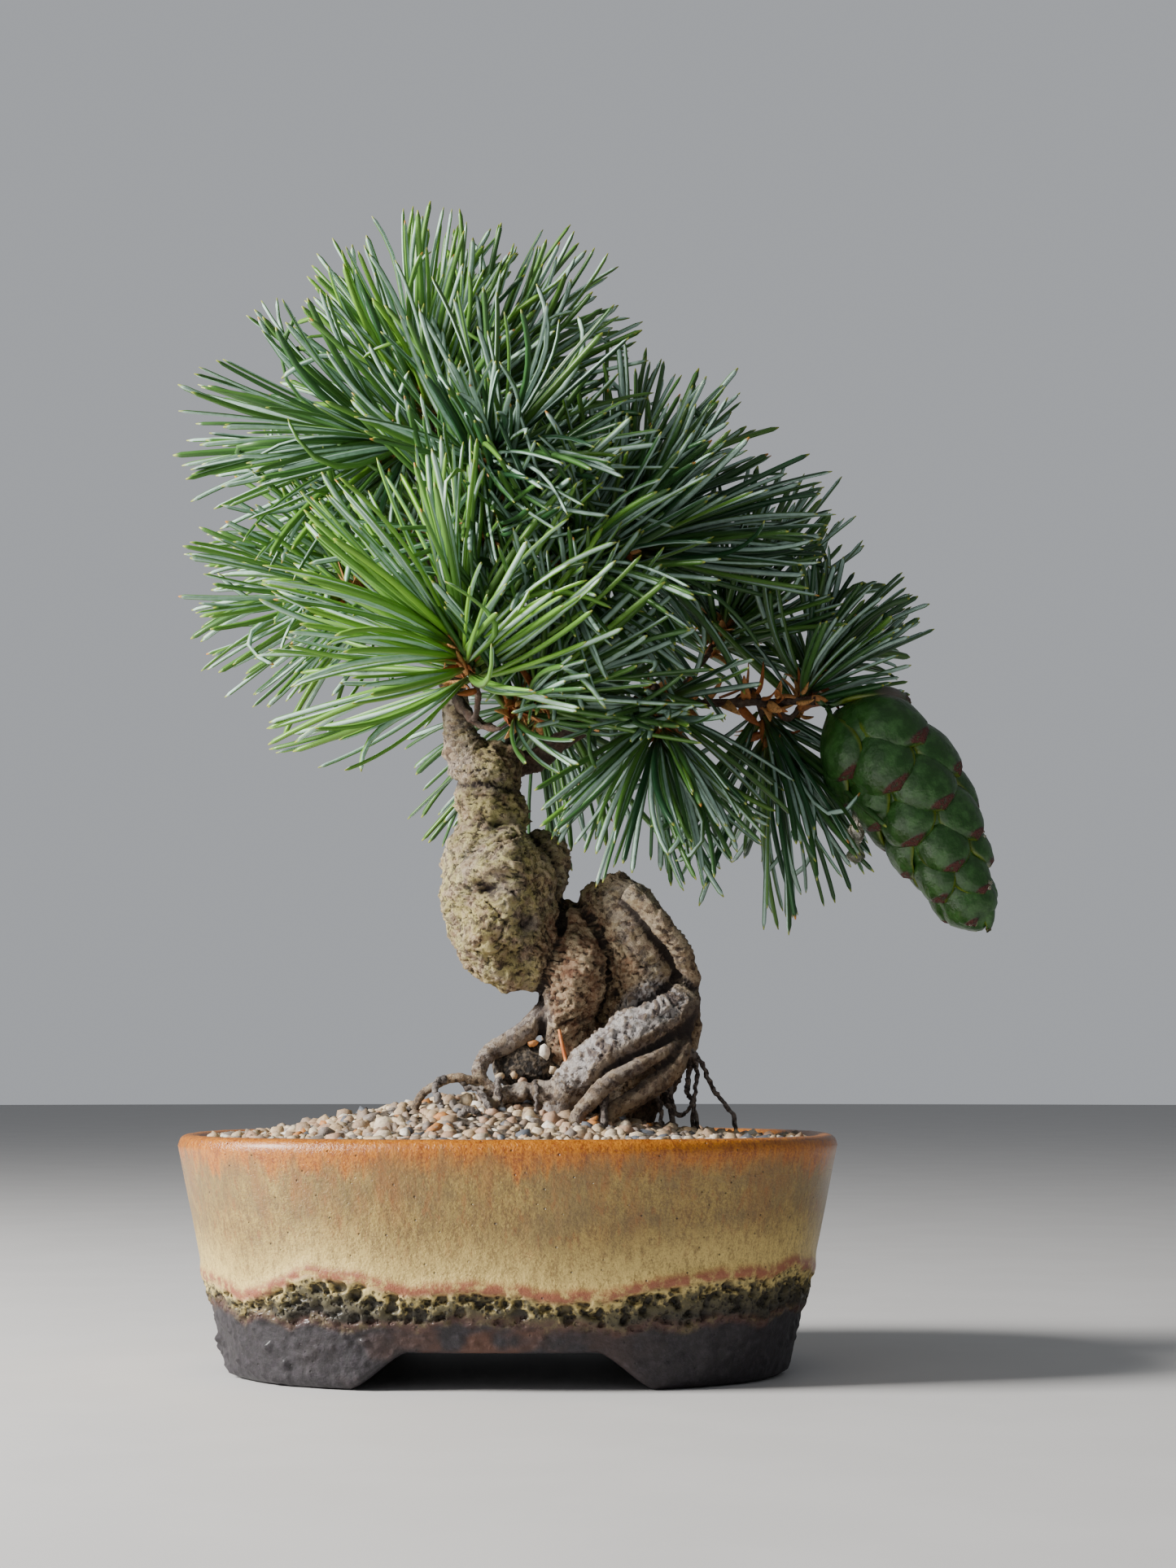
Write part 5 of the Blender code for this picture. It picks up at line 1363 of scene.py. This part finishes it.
@dataclass
class Foliage:
    """Needles in bundles of five, set in a spiral round each shoot's tip."""

    datum: Datum
    needle_length: float = 41.5
    half_width: float = 0.74
    rings: int = 9
    steps: int = 24
    bundle_size: int = 5
    shoot_length: float = 11.0
    length_variation: float = 0.12
    hooked_share: float = 0.10
    seed: int = 7

    def template(self) -> bpy.types.Mesh:
        """A straight four-sided needle of unit radius, from height 0 to 1."""
        bm = bmesh.new()
        bmesh.ops.create_cone(bm, cap_ends=True, segments=4, radius1=1.0, radius2=1.0, depth=1.0)
        bmesh.ops.translate(bm, vec=(0, 0, 0.5), verts=bm.verts[:])
        upright = [edge for edge in bm.edges if abs(edge.verts[0].co.z - edge.verts[1].co.z) > 0.5]
        bmesh.ops.subdivide_edges(bm, edges=upright, cuts=self.rings - 2, use_grid_fill=True)
        return mesh_from(bm, "needle")

    def bundle_aims(self, shoot: Shoot, rng: np.random.Generator) -> tuple[np.ndarray, np.ndarray]:
        """Where each bundle starts and the way it points.

        Args:
            shoot: the shoot.
            rng: the random draws.

        Returns:
            The bundles' places and directions, one per row.
        """
        aim = unit(np.array(shoot.aim))
        side = unit(np.cross(aim, [0.31, 0.92, 0.24]))
        other = np.cross(aim, side)
        count = shoot.bundles
        share = (np.arange(count) + 0.5) / count
        turn = np.arange(count) * GOLDEN_TURN + rng.normal(0, 0.25, count)
        lean = np.radians(8 + (shoot.spread - 8) * (1 - share) ** 0.75 + rng.normal(0, 7, count))
        radial = np.cos(turn)[:, None] * side + np.sin(turn)[:, None] * other
        aims = np.cos(lean)[:, None] * aim + np.sin(lean)[:, None] * radial
        starts = np.array(shoot.heart) + aim * (self.shoot_length * (share - 0.62))[:, None] + radial * 0.9
        return starts, aims

    def tuft(self, name: str, shoot: Shoot, template: bpy.types.Mesh) -> bpy.types.Mesh:
        """One shoot's needles as a mesh in the frame."""
        rng = np.random.default_rng(self.seed + len(name) * 101 + int(abs(shoot.heart[0]) * 10))
        starts, aims = self.bundle_aims(shoot, rng)
        aims = np.repeat(aims, self.bundle_size, axis=0)
        starts = np.repeat(starts, self.bundle_size, axis=0)
        count = len(aims)
        aim = unit(np.array(shoot.aim))
        side = unit(np.cross(aims, rng.normal(0, 1, (count, 3))))
        turn = np.tile(np.arange(self.bundle_size) * 2 * math.pi / self.bundle_size, shoot.bundles)
        turn = turn + np.repeat(rng.uniform(0, 6, shoot.bundles), self.bundle_size)
        base_side = np.repeat(side[::self.bundle_size], self.bundle_size, axis=0)
        base_other = np.cross(aims, base_side)
        away = np.cos(turn)[:, None] * base_side + np.sin(turn)[:, None] * base_other
        fan = np.abs(rng.normal(0.15, 0.08, count))[:, None]
        way = unit(aims + fan * away + rng.normal(0, 0.045, (count, 3)))
        longer = self.length_variation * rng.uniform(-1.2, 0.6, count)
        lengths = self.needle_length * shoot.share * (1 + longer)
        backward = np.clip(1 - way @ aim, 0, 2)[:, None]
        shared = np.repeat(rng.normal(0, 0.26, (shoot.bundles, 3)), self.bundle_size, axis=0)
        bend = 0.30 * backward * aim + shared + rng.normal(0, 0.10, (count, 3)) - 0.5 * fan * away
        bend += np.array([0, 0, -0.12])
        hook = (rng.random(count) < self.hooked_share)[:, None] * rng.normal(0, 1.6, (count, 3))

        table = coordinates(template)
        share = table[:, 2]
        share = 1 - (1 - share) ** 1.45
        angle = np.arctan2(table[:, 1], table[:, 0])
        corner = np.rint(angle / (math.pi / 2)).astype(int) % 4
        across = np.array([1.0, 0.0, -1.0, 0.0])[corner]
        outer = np.array([0.0, 0.62, 0.0, -0.72])[corner]
        point = np.sqrt(np.clip(1 - ((share - 0.94) / 0.0615).clip(0) ** 2, 0.05, 1))
        taper = np.minimum(1.0, 0.55 + 6 * share) * point
        taper *= 1 - 0.22 * share ** 3
        levels = np.linspace(0, 1, self.steps + 1)
        course = unit(way[:, None] + levels[None, :, None] * bend[:, None]
                      + levels[None, :, None] ** 4 * hook[:, None])
        walked = np.cumsum(course, axis=1) / (self.steps + 1)
        nearest = np.clip(np.rint(share * self.steps).astype(int), 0, self.steps)
        gone = np.where(share[None, :, None] > 0, walked[:, nearest], 0)
        middle = starts[:, None] + lengths[:, None, None] * gone
        tangent = course[:, nearest]
        out = unit(away[:, None] - tangent * np.sum(away[:, None] * tangent, axis=2, keepdims=True))
        wide = np.cross(tangent, out)
        size = self.half_width * rng.uniform(0.86, 1.1, count)
        offset = wide * across[None, :, None] + out * outer[None, :, None]
        places = middle + offset * (size[:, None] * taper[None, :])[:, :, None]

        mesh = copies(template, count)
        move_vertices(mesh, self.datum.to_frame(self.datum.above_rim(places.reshape(-1, 3))))
        note(mesh, "along", np.tile(share, count))
        note(mesh, "inner", np.tile((corner == 3).astype(float), count))
        note(mesh, "draw", np.repeat(rng.random(count), len(share)))
        # Each needle's brightness: partly young growth, partly painted light.
        lit = np.clip(shoot.fresh_and_lit + rng.normal(0, 0.14, count), 0, 1)
        note(mesh, "fresh_and_lit", np.repeat(lit, len(share)))
        return mesh

    def build(self) -> list[bpy.types.Object]:
        """One piece of needles for each shoot."""
        finish = NeedleFinish().make()
        template = self.template()
        return [piece(f"needle_tuft_{name}", self.tuft(name, shoot, template), finish,
                      (f"needles_{name}",)) for name, shoot in SHOOTS.items()]


@dataclass
class BudScales:
    """Curled papery flakes left round the shoots' hearts and along the bearing branch."""

    datum: Datum
    flakes: int = 46
    length: tuple[float, float] = (3.0, 6.5)
    width: tuple[float, float] = (0.7, 1.5)
    thickness: float = 0.16
    seed: int = 23

    def template(self) -> bpy.types.Mesh:
        """A flat strip from x -1 to 1 and y 0 to 1."""
        bm = bmesh.new()
        bmesh.ops.create_grid(bm, x_segments=2, y_segments=6, size=1.0)
        upper_half = Matrix.Translation((0, 0.5, 0)) @ Matrix.Diagonal((1, 0.5, 1, 1))
        bmesh.ops.transform(bm, matrix=upper_half, verts=bm.verts[:])
        return mesh_from(bm, "flake")

    def scatter(self, shoots: list[tuple[np.ndarray, np.ndarray, int]],
                rng: np.random.Generator) -> bpy.types.Mesh:
        """Flakes round some hearts.

        Args:
            shoots: each heart's place, its aim and how many flakes it gets.
            rng: the random draws.

        Returns:
            The flakes as one mesh in the frame.
        """
        template = self.template()
        table = coordinates(template)
        u, v = table[:, 0], table[:, 1]
        shape = np.sqrt(np.clip(1 - (2 * v - 0.9) ** 2 * 0.8, 0.05, 1)) * (1 - 0.5 * v)
        rows, draws = [], []
        for heart, aim, count in shoots:
            side = unit(np.cross(aim, [0.3, 0.5, 0.8]))
            other = np.cross(aim, side)
            for _ in range(count):
                turn = rng.uniform(0, 2 * math.pi)
                radial = math.cos(turn) * side + math.sin(turn) * other
                behind = rng.uniform(-8.5, 1.5)
                start = heart + aim * behind + radial * rng.uniform(0.9, 2.0)
                way = radial * rng.uniform(0.3, 1.1) + aim * rng.uniform(0.2, 1.1)
                way = unit(way + rng.normal(0, 0.35, 3))
                across = unit(np.cross(way, radial + rng.normal(0, 0.3, 3)))
                lift = np.cross(across, way)
                long, wide = rng.uniform(*self.length), rng.uniform(*self.width)
                curl = rng.normal(0.5, 0.9)
                cup = rng.uniform(0.2, 0.7)
                rows.append(start + (long * v)[:, None] * way + (wide * shape * u)[:, None] * across
                            + (curl * v * v * long * 0.5 - cup * wide * shape * u * u)[:, None] * lift)
                draws.append(rng.random())
        mesh = copies(template, len(rows))
        move_vertices(mesh, self.datum.to_frame(self.datum.above_rim(np.vstack(rows))))
        note(mesh, "draw", np.repeat(np.array(draws), len(table)))
        return baked(mesh, "SOLIDIFY", thickness=self.thickness * MM, offset=0.0)

    def build(self) -> list[bpy.types.Object]:
        """A piece for each collar, and one for the loose flakes elsewhere."""
        finish = PaperFinish().make()
        rng = np.random.default_rng(self.seed)
        made = []
        for name in COLLARED:
            shoot = SHOOTS[name]
            found = [(np.array(shoot.heart), unit(np.array(shoot.aim)), self.flakes)]
            made.append(piece(f"papery_scales_{name}", self.scatter(found, rng), finish,
                              (f"bud_scales_{name}",)))
        others = [(np.array(shoot.heart), unit(np.array(shoot.aim)), self.flakes // 2)
                  for name, shoot in SHOOTS.items() if name not in COLLARED]
        branch = smooth_route(BRANCHES["long_branch"])[20:-2, :3]
        others += [(place, np.array([1.0, 0, 0.1]), 2) for place in branch]
        made.append(piece("papery_scales_loose", self.scatter(others, rng), finish))
        return made


# ------------------------------------------------------------------- cone


@dataclass
class Cone:
    """The green cone: shield-shaped scales that overlap towards its tip, and its resin."""

    datum: Datum
    length: float = 60.0
    width: float = 27.0
    stalk: float = 2.4
    gap: float = 0.3
    steps: int = 240
    scales: int = 30
    torn_place: tuple[float, float, float] = (82.6, -9.0, 95.5)
    beads: int = 34
    drip_rings: int = 22
    seed: int = 3

    def axis(self, shares: np.ndarray) -> tuple[np.ndarray, np.ndarray]:
        """Places on the bent middle line and its direction there, for shares from 0 to 1."""
        hangs = unit(np.array([0.8, -0.1, -0.6]))
        start = np.array(BRANCHES["long_branch"][-1][:3]) + hangs * (self.stalk + self.gap)
        steps = np.arange(self.steps + 1) / self.steps
        slope = np.radians(-38 - 27 * np.minimum(1.0, 1.6 * steps))
        ways = np.column_stack([np.cos(slope), np.full(self.steps + 1, -0.05), np.sin(slope)])
        line = start + np.vstack([np.zeros(3), np.cumsum(ways[:-1], axis=0)]) * self.length / self.steps
        place = np.column_stack([np.interp(shares, steps, line[:, k]) for k in range(3)])
        over = np.maximum(shares - 1, 0)[:, None] + np.minimum(shares, 0)[:, None]
        way = unit(np.column_stack([np.interp(shares, steps, ways[:, k]) for k in range(3)]))
        return place + over * self.length * way, way

    def radius(self, shares: np.ndarray) -> np.ndarray:
        """Half width along the cone: a quick shoulder, then a long taper."""
        share = np.clip(shares, 0, 1)
        rise = np.sqrt(1 - (1 - np.minimum(1.0, share / 0.2)) ** 2)
        taper = 1 - 0.62 * np.maximum(0.0, (share - 0.3) / 0.7) ** 1.7
        close = np.sqrt(np.clip(1 - np.clip((shares - 0.86) / 0.15, 0, 1) ** 2.5, 0.01, 1))
        return self.width / 2 * rise * taper * close

    def wrapped(self, shares: np.ndarray, turns: np.ndarray, reach: np.ndarray) -> np.ndarray:
        """Places at a share along the cone, an angle round it and a distance from its middle line."""
        place, way = self.axis(shares)
        front = unit(np.cross(np.array([0.0, -1.0, 0.0]) + 0 * way, way))
        other = np.cross(way, front)
        return place + reach[:, None] * (np.cos(turns)[:, None] * front + np.sin(turns)[:, None] * other)

    def core(self) -> bpy.types.Mesh:
        """The dark body under the scales."""
        bm = bmesh.new()
        bmesh.ops.create_uvsphere(bm, u_segments=32, v_segments=24, radius=1.0)
        mesh = mesh_from(bm, "cone_core")
        table = coordinates(mesh)
        share = 0.03 + 0.955 * (1 - table[:, 2]) / 2
        turn = np.arctan2(table[:, 1], table[:, 0])
        girth = np.linalg.norm(table[:, :2], axis=1)
        sunk = self.radius(share) - 2.4 + 1.7 * ease(share, 0.78, 0.92)
        reach = np.where(girth < 1e-4, 0.0, np.maximum(sunk, 0.9) * np.minimum(1, girth * 2.2))
        move_vertices(mesh, self.wrapped(share, turn, reach))
        return mesh

    def scale_mesh(self) -> bpy.types.Mesh:
        """All the scales, laid like shingles on a spiral, with the numbers their finish reads."""
        rng = np.random.default_rng(self.seed)
        bm = bmesh.new()
        bmesh.ops.create_grid(bm, x_segments=12, y_segments=12, size=1.0)
        template = mesh_from(bm, "cone_scale")
        table = coordinates(template)
        u, v = table[:, 0], (table[:, 1] + 1) / 2
        rows, torn = [], []
        for number in range(self.scales):
            place = (number + 0.5) / self.scales
            middle = -0.07 + 0.93 * place ** 0.92
            girth = float(self.radius(np.array([min(max(middle + 0.1, 0.08), 0.97)]))[0])
            half = math.radians(41) * (1 + 0.30 * place) + rng.normal(0, 0.02)
            long = (0.285 - 0.125 * place) * (1 + rng.normal(0, 0.04))
            outline = np.sqrt(np.clip(1 - np.clip((v - 0.42) / 0.58, 0, 1) ** 2.3, 0, 1))
            outline = outline * (0.62 + 0.38 * ease(v, 0.0, 0.5))
            outline = np.maximum(outline, 0.03) * (1 + 0.05 * np.sin(7 * v + number))
            share = middle + long * (v - 0.14 * (u * outline) ** 2 * v)
            turn = number * GOLDEN_TURN + rng.normal(0, 0.03) + half * u * outline
            swell = np.cos(u * outline * math.pi / 2 * 0.92)
            swell = swell * np.sin(math.pi * np.clip(v, 0, 1) ** 0.85) ** 0.8
            umbo = np.exp(-((v - 0.95) / 0.07) ** 2 - (u * outline / 0.28) ** 2)
            lift = -3.2 + 3.6 * v + girth * 0.19 * swell + 0.5 * umbo - 1.1 * ease(v, 0.86, 1.0)
            lift = lift - 0.9 * np.abs(u) ** 3 * ease(v, 0.2, 0.6)
            share = np.minimum(share, 1.0 - 0.012 * u * u)
            lift = np.where(lift > 0, lift * ease(share, 1.04, 0.88), lift)
            rough = 0.10 * np.sin(23 * v + 9 * u + number * 2.1)
            reach = np.maximum(self.radius(share) + lift - 0.9 + rough * v, 0.4)
            rows.append(self.wrapped(share, turn, reach))
            away = np.linalg.norm(rows[-1] - self.torn_place, axis=1)
            away = away + 1.5 * Pattern.fractal(rows[-1], 1.8, 3, 9)
            torn.append(ease(away, 4.6, 2.6))
        mesh = copies(template, self.scales)
        move_vertices(mesh, np.vstack(rows))
        border = np.maximum(np.abs(u) ** 3 * ease(v, 0.05, 0.4), ease(v, 0.86, 0.97))
        lip = np.exp(-((v - 0.93) / 0.08) ** 2 - (u / 0.62) ** 2)
        note(mesh, "edge", np.tile(border, self.scales))
        note(mesh, "lip", np.tile(lip, self.scales))
        note(mesh, "torn", np.concatenate(torn) * 0.9)
        return mesh

    def build(self) -> list[bpy.types.Object]:
        """The scales and their core, then the beads of resin and the drip."""
        scales = baked(self.scale_mesh(), "SOLIDIFY", thickness=1.1, offset=-1.0)
        bm = bmesh.new()
        bm.from_mesh(scales)
        bm.from_mesh(self.core())
        mesh = mesh_from(bm, "cone")
        move_vertices(mesh, self.datum.to_frame(self.datum.above_rim(coordinates(mesh))))
        made = [piece("cone_scales", mesh, ConeFinish().make(), ("cone",))]
        made.append(self.build_resin(mesh))
        return made

    def build_resin(self, scales: bpy.types.Mesh) -> bpy.types.Object:
        """The hanging drip in its packed place, and beads on the scales' lips.

        Args:
            scales: the finished scales, with their lips noted.

        Returns:
            The piece.
        """
        low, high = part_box("resin_drip")
        middle = (low + high) / 2
        tall = high.z - low.z
        half = (high.x - low.x) / 2
        bm = bmesh.new()
        outline = []
        for step in range(self.drip_rings + 1):
            share = step / self.drip_rings
            upper = math.exp(-((share - 0.42) / 0.16) ** 2)
            lower = math.exp(-((share - 0.84) / 0.13) ** 2)
            girth = half * min(1.0, 0.34 + 0.62 * upper + 0.7 * lower)
            girth *= min(1.0, (1 - share) * 9, 0.5 + 6 * share)
            outline.append(bm.verts.new((max(girth, 1e-6), 0, -tall * share)))
        edges = [bm.edges.new(pair) for pair in zip(outline, outline[1:])]
        bmesh.ops.spin(bm, geom=outline + edges, cent=(0, 0, 0), axis=(0, 0, 1), angle=2 * math.pi, steps=20,
                       use_merge=True)
        bmesh.ops.translate(bm, vec=(middle.x, middle.y, high.z), verts=bm.verts[:])
        bmesh.ops.remove_doubles(bm, verts=bm.verts[:], dist=0.01 * MM)
        rng = np.random.default_rng(self.seed + 1)
        lips = np.empty(len(scales.vertices), np.float32)
        scales.attributes["lip"].data.foreach_get("value", lips)
        places, outward = coordinates(scales), normals(scales)
        hosts = np.flatnonzero(lips > 0.5)[:: 7]
        for centre in rng.choice(hosts, self.beads // 3, replace=False):
            near = np.flatnonzero(np.linalg.norm(places - places[centre], axis=1) < 1.8 * MM)
            for spot in rng.choice(near, 3):
                radius = rng.uniform(0.25, 0.62) * MM
                bead = bmesh.ops.create_icosphere(bm, subdivisions=2, radius=radius)
                sits = Vector(places[spot] + outward[spot] * radius * 0.4)
                bmesh.ops.translate(bm, vec=sits, verts=bead["verts"])
        bmesh.ops.recalc_face_normals(bm, faces=bm.faces[:])
        return piece("resin", mesh_from(bm, "resin"), ResinFinish().make(), ("resin_drip",))


# ---------------------------------------------------------------- planting


@dataclass
class Gravel:
    """River grit over the soil, mounded round the trunk."""

    datum: Datum
    pot: Pot
    below_rim: float = 2.0
    mound: tuple[float, float, float, float] = (9.4, -6.0, 36.0, 30.0)
    spacing: float = 2.4
    wall_gap: float = 1.6
    lodged: tuple[tuple[float, float, float, float, float], ...] = (
        (7.6, -8.6, 17.2, 1.7, 0.97), (5.1, -7.8, 19.0, 1.1, 0.85), (1.2, -9.0, 12.4, 1.2, 0.05),
        (9.4, -8.8, 13.4, 1.0, 0.30), (3.0, -9.4, 10.8, 1.3, 0.70), (-1.8, -9.6, 12.0, 1.0, 0.15))
    seed: int = 41

    def top(self, places: np.ndarray) -> np.ndarray:
        """The height of the bed over each place."""
        tall, at, length, depth = self.mound
        return self.datum.rim - self.below_rim + tall * np.exp(
            -((places[:, 0] - at) / length) ** 2 - (places[:, 1] / depth) ** 2)

    def inside(self, places: np.ndarray, inset: float) -> np.ndarray:
        """Whether each place is inside the pot's inner wall, less an inset."""
        half_length = self.pot.length / 2 - self.pot.wall - inset
        half_depth = self.pot.depth / 2 - self.pot.wall - inset
        power = self.pot.oval_power
        across = (np.abs(places[:, 0]) / half_length) ** power
        return across + (np.abs(places[:, 1]) / half_depth) ** power < 1

    def template(self) -> bpy.types.Mesh:
        """A rounded block of two dozen faces."""
        bm = bmesh.new()
        bmesh.ops.create_cube(bm, size=1.2)
        bmesh.ops.subdivide_edges(bm, edges=bm.edges[:], cuts=1, use_grid_fill=True)
        for vert in bm.verts:
            vert.co = vert.co.normalized() * (0.72 * vert.co.length ** 0.25 + 0.28)
        return mesh_from(bm, "pebble")

    def build(self) -> bpy.types.Object:
        """The pebbles as one piece."""
        rng = np.random.default_rng(self.seed)
        across = np.arange(-70, 70, self.spacing)
        down = np.arange(-56, 56, self.spacing * 0.87)
        grid = np.array([(x + (row % 2) * self.spacing / 2, y) for row, y in enumerate(down) for x in across])
        grid = grid + rng.normal(0, 0.45, grid.shape)
        grid = grid[self.inside(grid, self.wall_gap)]
        size = np.clip(rng.lognormal(0.54, 0.26, len(grid)), 1.05, 2.8)
        middles = np.column_stack([grid, self.top(grid) - 0.30 * size + rng.uniform(-0.7, 0.5, len(grid))])
        draws = np.concatenate([rng.random(len(middles)), [stone[4] for stone in self.lodged]])
        middles = np.vstack([middles, self.datum.above_rim([stone[:3] for stone in self.lodged])])
        size = np.concatenate([size, [stone[3] for stone in self.lodged]])
        template = self.template()
        table = coordinates(template)
        turns = rng.normal(0, 1, (len(middles), 4))
        turns /= np.linalg.norm(turns, axis=1, keepdims=True)
        w, x, y, z = turns.T
        rotate = np.stack([
            np.stack([1 - 2 * (y * y + z * z), 2 * (x * y - z * w), 2 * (x * z + y * w)], axis=1),
            np.stack([2 * (x * y + z * w), 1 - 2 * (x * x + z * z), 2 * (y * z - x * w)], axis=1),
            np.stack([2 * (x * z - y * w), 2 * (y * z + x * w), 1 - 2 * (x * x + y * y)], axis=1)], axis=1)
        stretch = size[:, None] * rng.uniform([0.8, 0.65, 0.5], [1.3, 1.0, 0.85], (len(middles), 3))
        knobs = 1 + 0.2 * rng.uniform(-1, 1, (len(middles), len(table)))
        shape = table[None] * knobs[:, :, None] * stretch[:, None]
        places = middles[:, None] + np.einsum("nij,nvj->nvi", rotate, shape)
        mesh = copies(template, len(middles))
        move_vertices(mesh, self.datum.to_frame(places.reshape(-1, 3)))
        note(mesh, "draw", np.repeat(draws, len(table)))
        return piece("river_grit", mesh, PebbleFinish().make())


# -------------------------------------------------------------------- set


@dataclass
class Studio:
    """A pale floor, soft light from the left and the camera."""

    datum: Datum
    camera_at: tuple[float, float, float] = (16.9, -600.0, 64.0)
    lens: float = 63.5
    tilt_up: float = 5.8
    room_light: float = 0.25
    room_seen: float = 0.50

    def floor(self) -> None:
        """A wide pale disc under the pot."""
        bm = bmesh.new()
        bmesh.ops.create_circle(bm, cap_ends=True, segments=128, radius=4.0)
        mesh = mesh_from(bm, "floor")
        finish = PlainFinish("pale_floor", (0.62, 0.61, 0.60), (0.64, 0.63, 0.62), 40.0, 0.55, 0.01)
        mesh.materials.append(finish.make())
        ground = bpy.data.objects.new("floor", mesh)
        bpy.context.collection.objects.link(ground)

    def lamp(self, name: str, at: tuple[float, float, float], size: float, power: float,
             colour: Colour) -> None:
        """A square soft light aimed at the tree.

        Args:
            name: the light's name.
            at: where it stands, in metres from the pot's axis.
            size: its width in metres.
            power: its power in watts.
            colour: its colour.
        """
        light = bpy.data.lights.new(name, "AREA")
        light.size = size
        light.energy = power
        light.color = colour
        holder = bpy.data.objects.new(name, light)
        holder.location = (self.datum.x + at[0], self.datum.y + at[1], at[2])
        aim = Vector((self.datum.x, self.datum.y, 0.11)) - holder.location
        holder.rotation_euler = aim.to_track_quat("-Z", "Y").to_euler()
        bpy.context.collection.objects.link(holder)

    def build(self) -> None:
        """Puts up the floor, lights, sky and camera."""
        self.floor()
        self.lamp("window", (-0.82, -0.26, 0.50), 0.30, 29.0, (1.0, 0.98, 0.95))
        self.lamp("fill", (-0.6, -1.1, 0.5), 1.0, 1.2, (0.95, 0.97, 1.0))
        world = bpy.data.worlds.new("soft_room")
        world.use_nodes = True
        tree = world.node_tree
        background = tree.nodes["Background"]
        background.inputs["Color"].default_value = (0.80, 0.83, 0.88, 1)
        sight = tree.nodes.new("ShaderNodeLightPath")
        strength = tree.nodes.new("ShaderNodeMapRange")
        strength.inputs["To Min"].default_value = self.room_light
        strength.inputs["To Max"].default_value = self.room_seen
        tree.links.new(sight.outputs["Is Camera Ray"], strength.inputs["Value"])
        tree.links.new(strength.outputs["Result"], background.inputs["Strength"])
        bpy.context.scene.world = world
        camera = bpy.data.cameras.new("camera")
        camera.lens = self.lens
        camera.sensor_width = 36.0
        camera.clip_start = 0.01
        holder = bpy.data.objects.new("camera", camera)
        x, y, z = self.camera_at
        holder.location = (self.datum.x + x * MM, self.datum.y + y * MM, z * MM)
        holder.rotation_euler = (math.radians(90 + self.tilt_up), 0, 0)
        bpy.context.collection.objects.link(holder)
        bpy.context.scene.camera = holder


def dress_packed_nodes() -> None:
    """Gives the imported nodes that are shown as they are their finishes."""
    plastic = ((0.015, 0.016, 0.015), (0.03, 0.03, 0.03))
    finishes = {
        "soil": PlainFinish("potting_earth", (0.035, 0.022, 0.014), (0.10, 0.07, 0.045), 1.4, 0.95, 0.8),
        # Painted shade: the top dressing is darkened so the gaps between the pebbles read as shadow.
        "top_dressing": PlainFinish("grit_gap_shade", (0.045, 0.032, 0.022), (0.12, 0.09, 0.06), 1.0, 0.95, 0.6),
        "drain_mesh_left": PlainFinish("mesh_plastic", *plastic, 3.0, 0.5, 0.02),
        "drain_mesh_right": PlainFinish("mesh_plastic_right", *plastic, 3.0, 0.5, 0.02),
        "anchor_wire": PlainFinish("anodised_wire", (0.05, 0.035, 0.025), (0.09, 0.06, 0.045), 2.0, 0.35,
                                   0.02, 0.9),
    }
    for name, finish in finishes.items():
        node = FRAME["nodes"][name]
        node.data.materials.clear()
        node.data.materials.append(finish.make())
        LOG.info("%s: dressed as packed", name)


def main() -> None:
    """Builds every sub-assembly in order, then the studio."""
    datum = Datum.of_pot()
    pot = Pot(datum)
    pot.build_wall()
    pot.build_floor()
    Gravel(datum, pot).build()
    Wood(datum).build()
    FineRoots(datum).build()
    Foliage(datum).build()
    BudScales(datum).build()
    Cone(datum).build()
    dress_packed_nodes()
    Studio(datum).build()


if __name__ == "__main__":
    logging.basicConfig(level=logging.INFO, format="%(message)s")
    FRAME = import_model()
    main()
